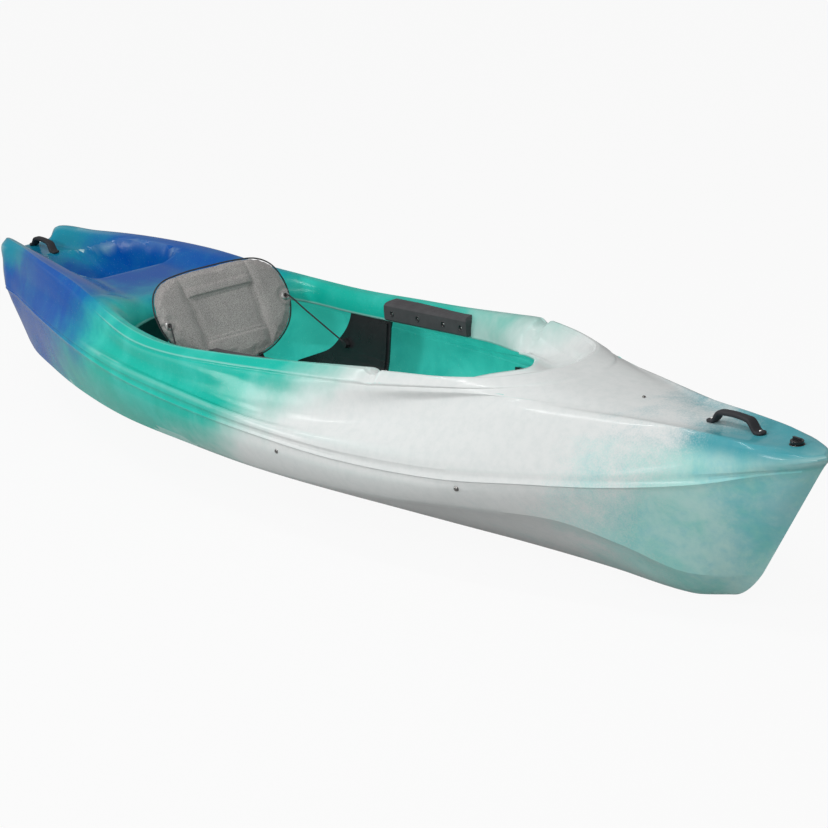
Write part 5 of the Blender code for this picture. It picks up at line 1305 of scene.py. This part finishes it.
class KAYAK_OT_thigh_pads(bpy.types.Operator):
    """Charcoal strips screwed to the cockpit's inner wall"""
    bl_idname = "kayak.thigh_pads"
    bl_label = "Thigh Pads"

    def execute(self, context):
        for side, hand in SIDES:
            dress(f"thigh_pad_{side}", "thigh_rubber", 0.0016)
            for number in range(1, 5):
                screw = f"pad_screw_{side}_{number}"
                dress(screw, "steel", 0.0004)
                low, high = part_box(screw)
                middle = (low + high) / 2
                face = (low.y if hand > 0 else high.y) - hand * CUP_PROUD
                ring = [(middle.x + CUP_RING * math.cos(turn), face,
                         middle.z + CUP_RING * math.sin(turn)) for turn in turns(28)]
                cup = tube(ring, CUP_RIM, 8, closed=True)
                cup = new_piece(f"pad_cup_{side}_{number}", cup, "satin_plastic")
                ready(cup, "root", "black_plastic")
        return {"FINISHED"}


class KAYAK_OT_foot_braces(bpy.types.Operator):
    """Rails, sliding pedals and latches of the foot braces, with their bolts and nuts"""
    bl_idname = "kayak.foot_braces"
    bl_label = "Foot Braces"

    def execute(self, context):
        for side, _ in SIDES:
            for part in ("rail", "pedal", "latch"):
                dress(f"brace_{part}_{side}", "grained_plastic", 0.0007)
            for end in ("rear", "front"):
                dress(f"brace_bolt_{end}_{side}", "dark_steel", 0.0005)
                dress(f"brace_nut_{end}_{side}", "steel", 0.0004)
        return {"FINISHED"}


def handle_shape(low, high, deck):
    """A handle bowed over the deck: flat feet, rounded shoulders and a waisted grip."""
    width = bpy.context.scene.kayak_sizes.handle_width
    rear, fore = (deck.ray_cast(Vector((x, 0, 1)), Vector((0, 0, -1)))[0]
                  for x in (low.x + FOOT_IN, high.x - FOOT_IN))
    slope = (fore.z - rear.z) / (fore.x - rear.x)
    top = high.z - (rear.z + fore.z) / 2 - GRIP_THICK / 2
    spots = []
    for t in np.linspace(-1, 1, HANDLE_STEPS + 1):
        raised = rise(abs(t), 0.80, 0.52)
        bow = 1 - GRIP_BOW * min(1, (t / 0.6) ** 2)
        height = FOOT_RISE + (top * bow - FOOT_RISE) * raised
        x = (low.x + high.x) / 2 + t * (high.x - low.x) / 2
        end = rise(abs(t), 1, 0.90) ** 0.5
        wide = width * (0.76 + 0.24 * rise(abs(t), 0.2, 0.75)) * (0.5 + 0.5 * end)
        deep = (FOOT_THICK + (GRIP_THICK - FOOT_THICK) * raised) * (0.35 + 0.65 * end)
        spots.append((Vector((x, 0, rear.z + slope * (x - rear.x) + height)), wide / 2, deep / 2))
    bm = bmesh.new()
    rings = []
    for k, (spot, wide, deep) in enumerate(spots):
        along = (spots[min(k + 1, HANDLE_STEPS)][0] - spots[max(k - 1, 0)][0]).normalized()
        up = Vector((-along.z, 0, along.x))
        ring = []
        for turn in turns(24):
            c, s = math.cos(turn), math.sin(turn)
            across = math.copysign(abs(c) ** GRIP_SQUARE, c) * wide
            lift = math.copysign(abs(s) ** GRIP_SQUARE, s) * deep
            ring.append(bm.verts.new(spot + Vector((0, across, 0)) + up * lift))
        rings.append(ring)
    return skin(bm, rings)


class KAYAK_OT_handles(bpy.types.Operator):
    """Carry handles bowed over the deck at the bow and the stern"""
    bl_idname = "kayak.handles"
    bl_label = "Carry Handles"

    def execute(self, context):
        deck = shell_tree()
        for end in ("bow", "stern"):
            shape = handle_shape(*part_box(f"{end}_handle"), deck)
            handle = new_piece(f"{end}_carry_handle", shape, "handle_plastic")
            modify(handle, "SUBSURF", levels=1, render_levels=1)
            ready(handle, "root", "handle_plastic", f"{end}_handle")
            for number in (1, 2):
                dress(f"{end}_handle_screw_{number}", "steel", 0.0005)
        dress("foredeck_screw", "dark_steel", 0.0004)
        return {"FINISHED"}


class KAYAK_OT_drain(bpy.types.Operator):
    """Drain plug with its gasket and socket"""
    bl_idname = "kayak.drain"
    bl_label = "Drain"

    def execute(self, context):
        dress("drain_socket", "satin_plastic", 0.0006)
        dress("drain_plug", "satin_plastic", 0.0007)
        dress("drain_gasket", "rubber", 0.0003)
        return {"FINISHED"}


class KAYAK_OT_foam(bpy.types.Operator):
    """Foam pillars under the two decks"""
    bl_idname = "kayak.foam"
    bl_label = "Foam Pillars"

    def execute(self, context):
        hull = shell_tree()
        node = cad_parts["bow_foam_pillar"]
        bm = bmesh.new()
        bm.from_mesh(node.data)
        bm.transform(node.matrix_world)
        for vert in bm.verts:
            under = hull.ray_cast(Vector((vert.co.x, vert.co.y, -1)), Vector((0, 0, 1)))[0]
            if under:
                vert.co.z = max(vert.co.z, under.z + FOAM_STAND)
        pillar = new_piece("bow_foam_block", bm, "foam", sharp=30)
        modify(pillar, "BEVEL", width=FOAM_EDGE, segments=2, limit_method="ANGLE")
        ready(pillar, "root", "black_foam", "bow_foam_pillar")
        dress("stern_foam_pillar", "foam", FOAM_EDGE)
        return {"FINISHED"}


def shown_white(made, gloss, shaded, white, output):
    """A surface that is white to the camera and part white to reflections, else shaded."""
    rays = made.node("ShaderNodeLightPath").socket.node
    seen, glossy, through = (Signal(made, rays.outputs[f"Is {kind} Ray"])
                             for kind in ("Camera", "Glossy", "Transmission"))
    factor = (seen + through + glossy * gloss[0]) * gloss[1]
    mixed = made.node("ShaderNodeMixShader", values={0: factor, 1: shaded, 2: white})
    made.tree.links.new(mixed.socket, made.tree.nodes[output].inputs["Surface"])
    return made.material


class KAYAK_OT_stage(bpy.types.Operator):
    """Pale floor, soft studio light and the camera"""
    bl_idname = "kayak.stage"
    bl_label = "Stage"

    def execute(self, context):
        scene = context.scene
        bm = bmesh.new()
        bmesh.ops.create_circle(bm, cap_ends=True, radius=FLOOR_RADIUS, segments=96)
        mesh = bpy.data.meshes.new("floor")
        bm.to_mesh(mesh)
        bm.free()
        floor = put("floor", mesh)
        floor.location.z = FLOOR_HEIGHT
        made = Surface("floor_white")
        shade = (FLOOR_SHADE,) * 3
        flat = made.node("ShaderNodeBsdfDiffuse", values={"Color": shade})
        glow = made.node("ShaderNodeEmission", values={"Color": (1, 1, 1), "Strength": 1.0})
        mesh.materials.append(shown_white(made, FLOOR_WHITE, flat, glow, "Material Output"))
        made = Surface("studio", bpy.data.worlds.new("studio"))
        soft, bright = (made.node("ShaderNodeBackground",
                                  values={"Color": (1, 1, 1), "Strength": level})
                        for level in (WORLD_LEVEL, 1.0))
        scene.world = shown_white(made, (0.0, 1.0), soft, bright, "World Output")
        for name, spot, target, size, power in LAMPS:
            data = bpy.data.lights.new(name, "AREA")
            data.shape = "RECTANGLE"
            data.size, data.size_y = size
            data.energy = power
            lamp = put(name, data)
            lamp.location = spot
            aim = Vector(target) - Vector(spot)
            lamp.rotation_euler = aim.to_track_quat("-Z", "Y").to_euler()
        azimuth, elevation, roll = (math.radians(v) for v in CAMERA_TURN)
        back = Vector((math.sin(azimuth) * math.cos(elevation),
                       -math.cos(azimuth) * math.cos(elevation), math.sin(elevation)))
        right = Vector((math.cos(azimuth), math.sin(azimuth), 0))
        up = back.cross(right)
        across = right * math.cos(roll) + up * math.sin(roll)
        upward = up * math.cos(roll) - right * math.sin(roll)
        data = bpy.data.cameras.new("camera")
        data.lens = CAMERA_FOCUS / PICTURE_WIDTH * SENSOR_WIDTH
        data.sensor_width = SENSOR_WIDTH
        camera = put("camera", data)
        spot = Vector(CAMERA_TARGET) + back * scene.kayak_sizes.camera_distance
        turn = Matrix((across, upward, back)).transposed().to_4x4()
        camera.matrix_world = Matrix.Translation(spot) @ turn
        scene.camera = camera
        scene.view_settings.view_transform = "Standard"
        return {"FINISHED"}


class KAYAK_PT_panel(bpy.types.Panel):
    """The kayak's steps, sizes and colours"""
    bl_idname = "KAYAK_PT_panel"
    bl_label = "Kayak"
    bl_space_type = "VIEW_3D"
    bl_region_type = "UI"
    bl_category = "Kayak"

    def draw(self, context):
        """Lists the steps, then the sizes and the colours."""
        column = self.layout.column()
        for step in STEPS:
            column.operator(step.bl_idname)
        for group in (context.scene.kayak_sizes, context.scene.kayak_colours):
            box = self.layout.box()
            for name in group.__annotations__:
                box.prop(group, name)


STEPS = (KAYAK_OT_stage, KAYAK_OT_cords, KAYAK_OT_shell, KAYAK_OT_backrest, KAYAK_OT_seat,
         KAYAK_OT_thigh_pads, KAYAK_OT_foot_braces, KAYAK_OT_handles, KAYAK_OT_drain,
         KAYAK_OT_foam)
CLASSES = (KayakSizes, KayakColours) + STEPS + (KAYAK_PT_panel,)


def register():
    """Adds the classes and gives each scene its sizes and colours."""
    for cls in CLASSES:
        bpy.utils.register_class(cls)
    bpy.types.Scene.kayak_sizes = bpy.props.PointerProperty(type=KayakSizes)
    bpy.types.Scene.kayak_colours = bpy.props.PointerProperty(type=KayakColours)


def unregister():
    """Takes away what register added."""
    del bpy.types.Scene.kayak_colours
    del bpy.types.Scene.kayak_sizes
    for cls in reversed(CLASSES):
        bpy.utils.unregister_class(cls)


def main():
    """Makes every piece in order."""
    register()
    for step in STEPS:
        group, name = step.bl_idname.split(".")
        getattr(getattr(bpy.ops, group), name)()


if __name__ == "__main__":
    main()
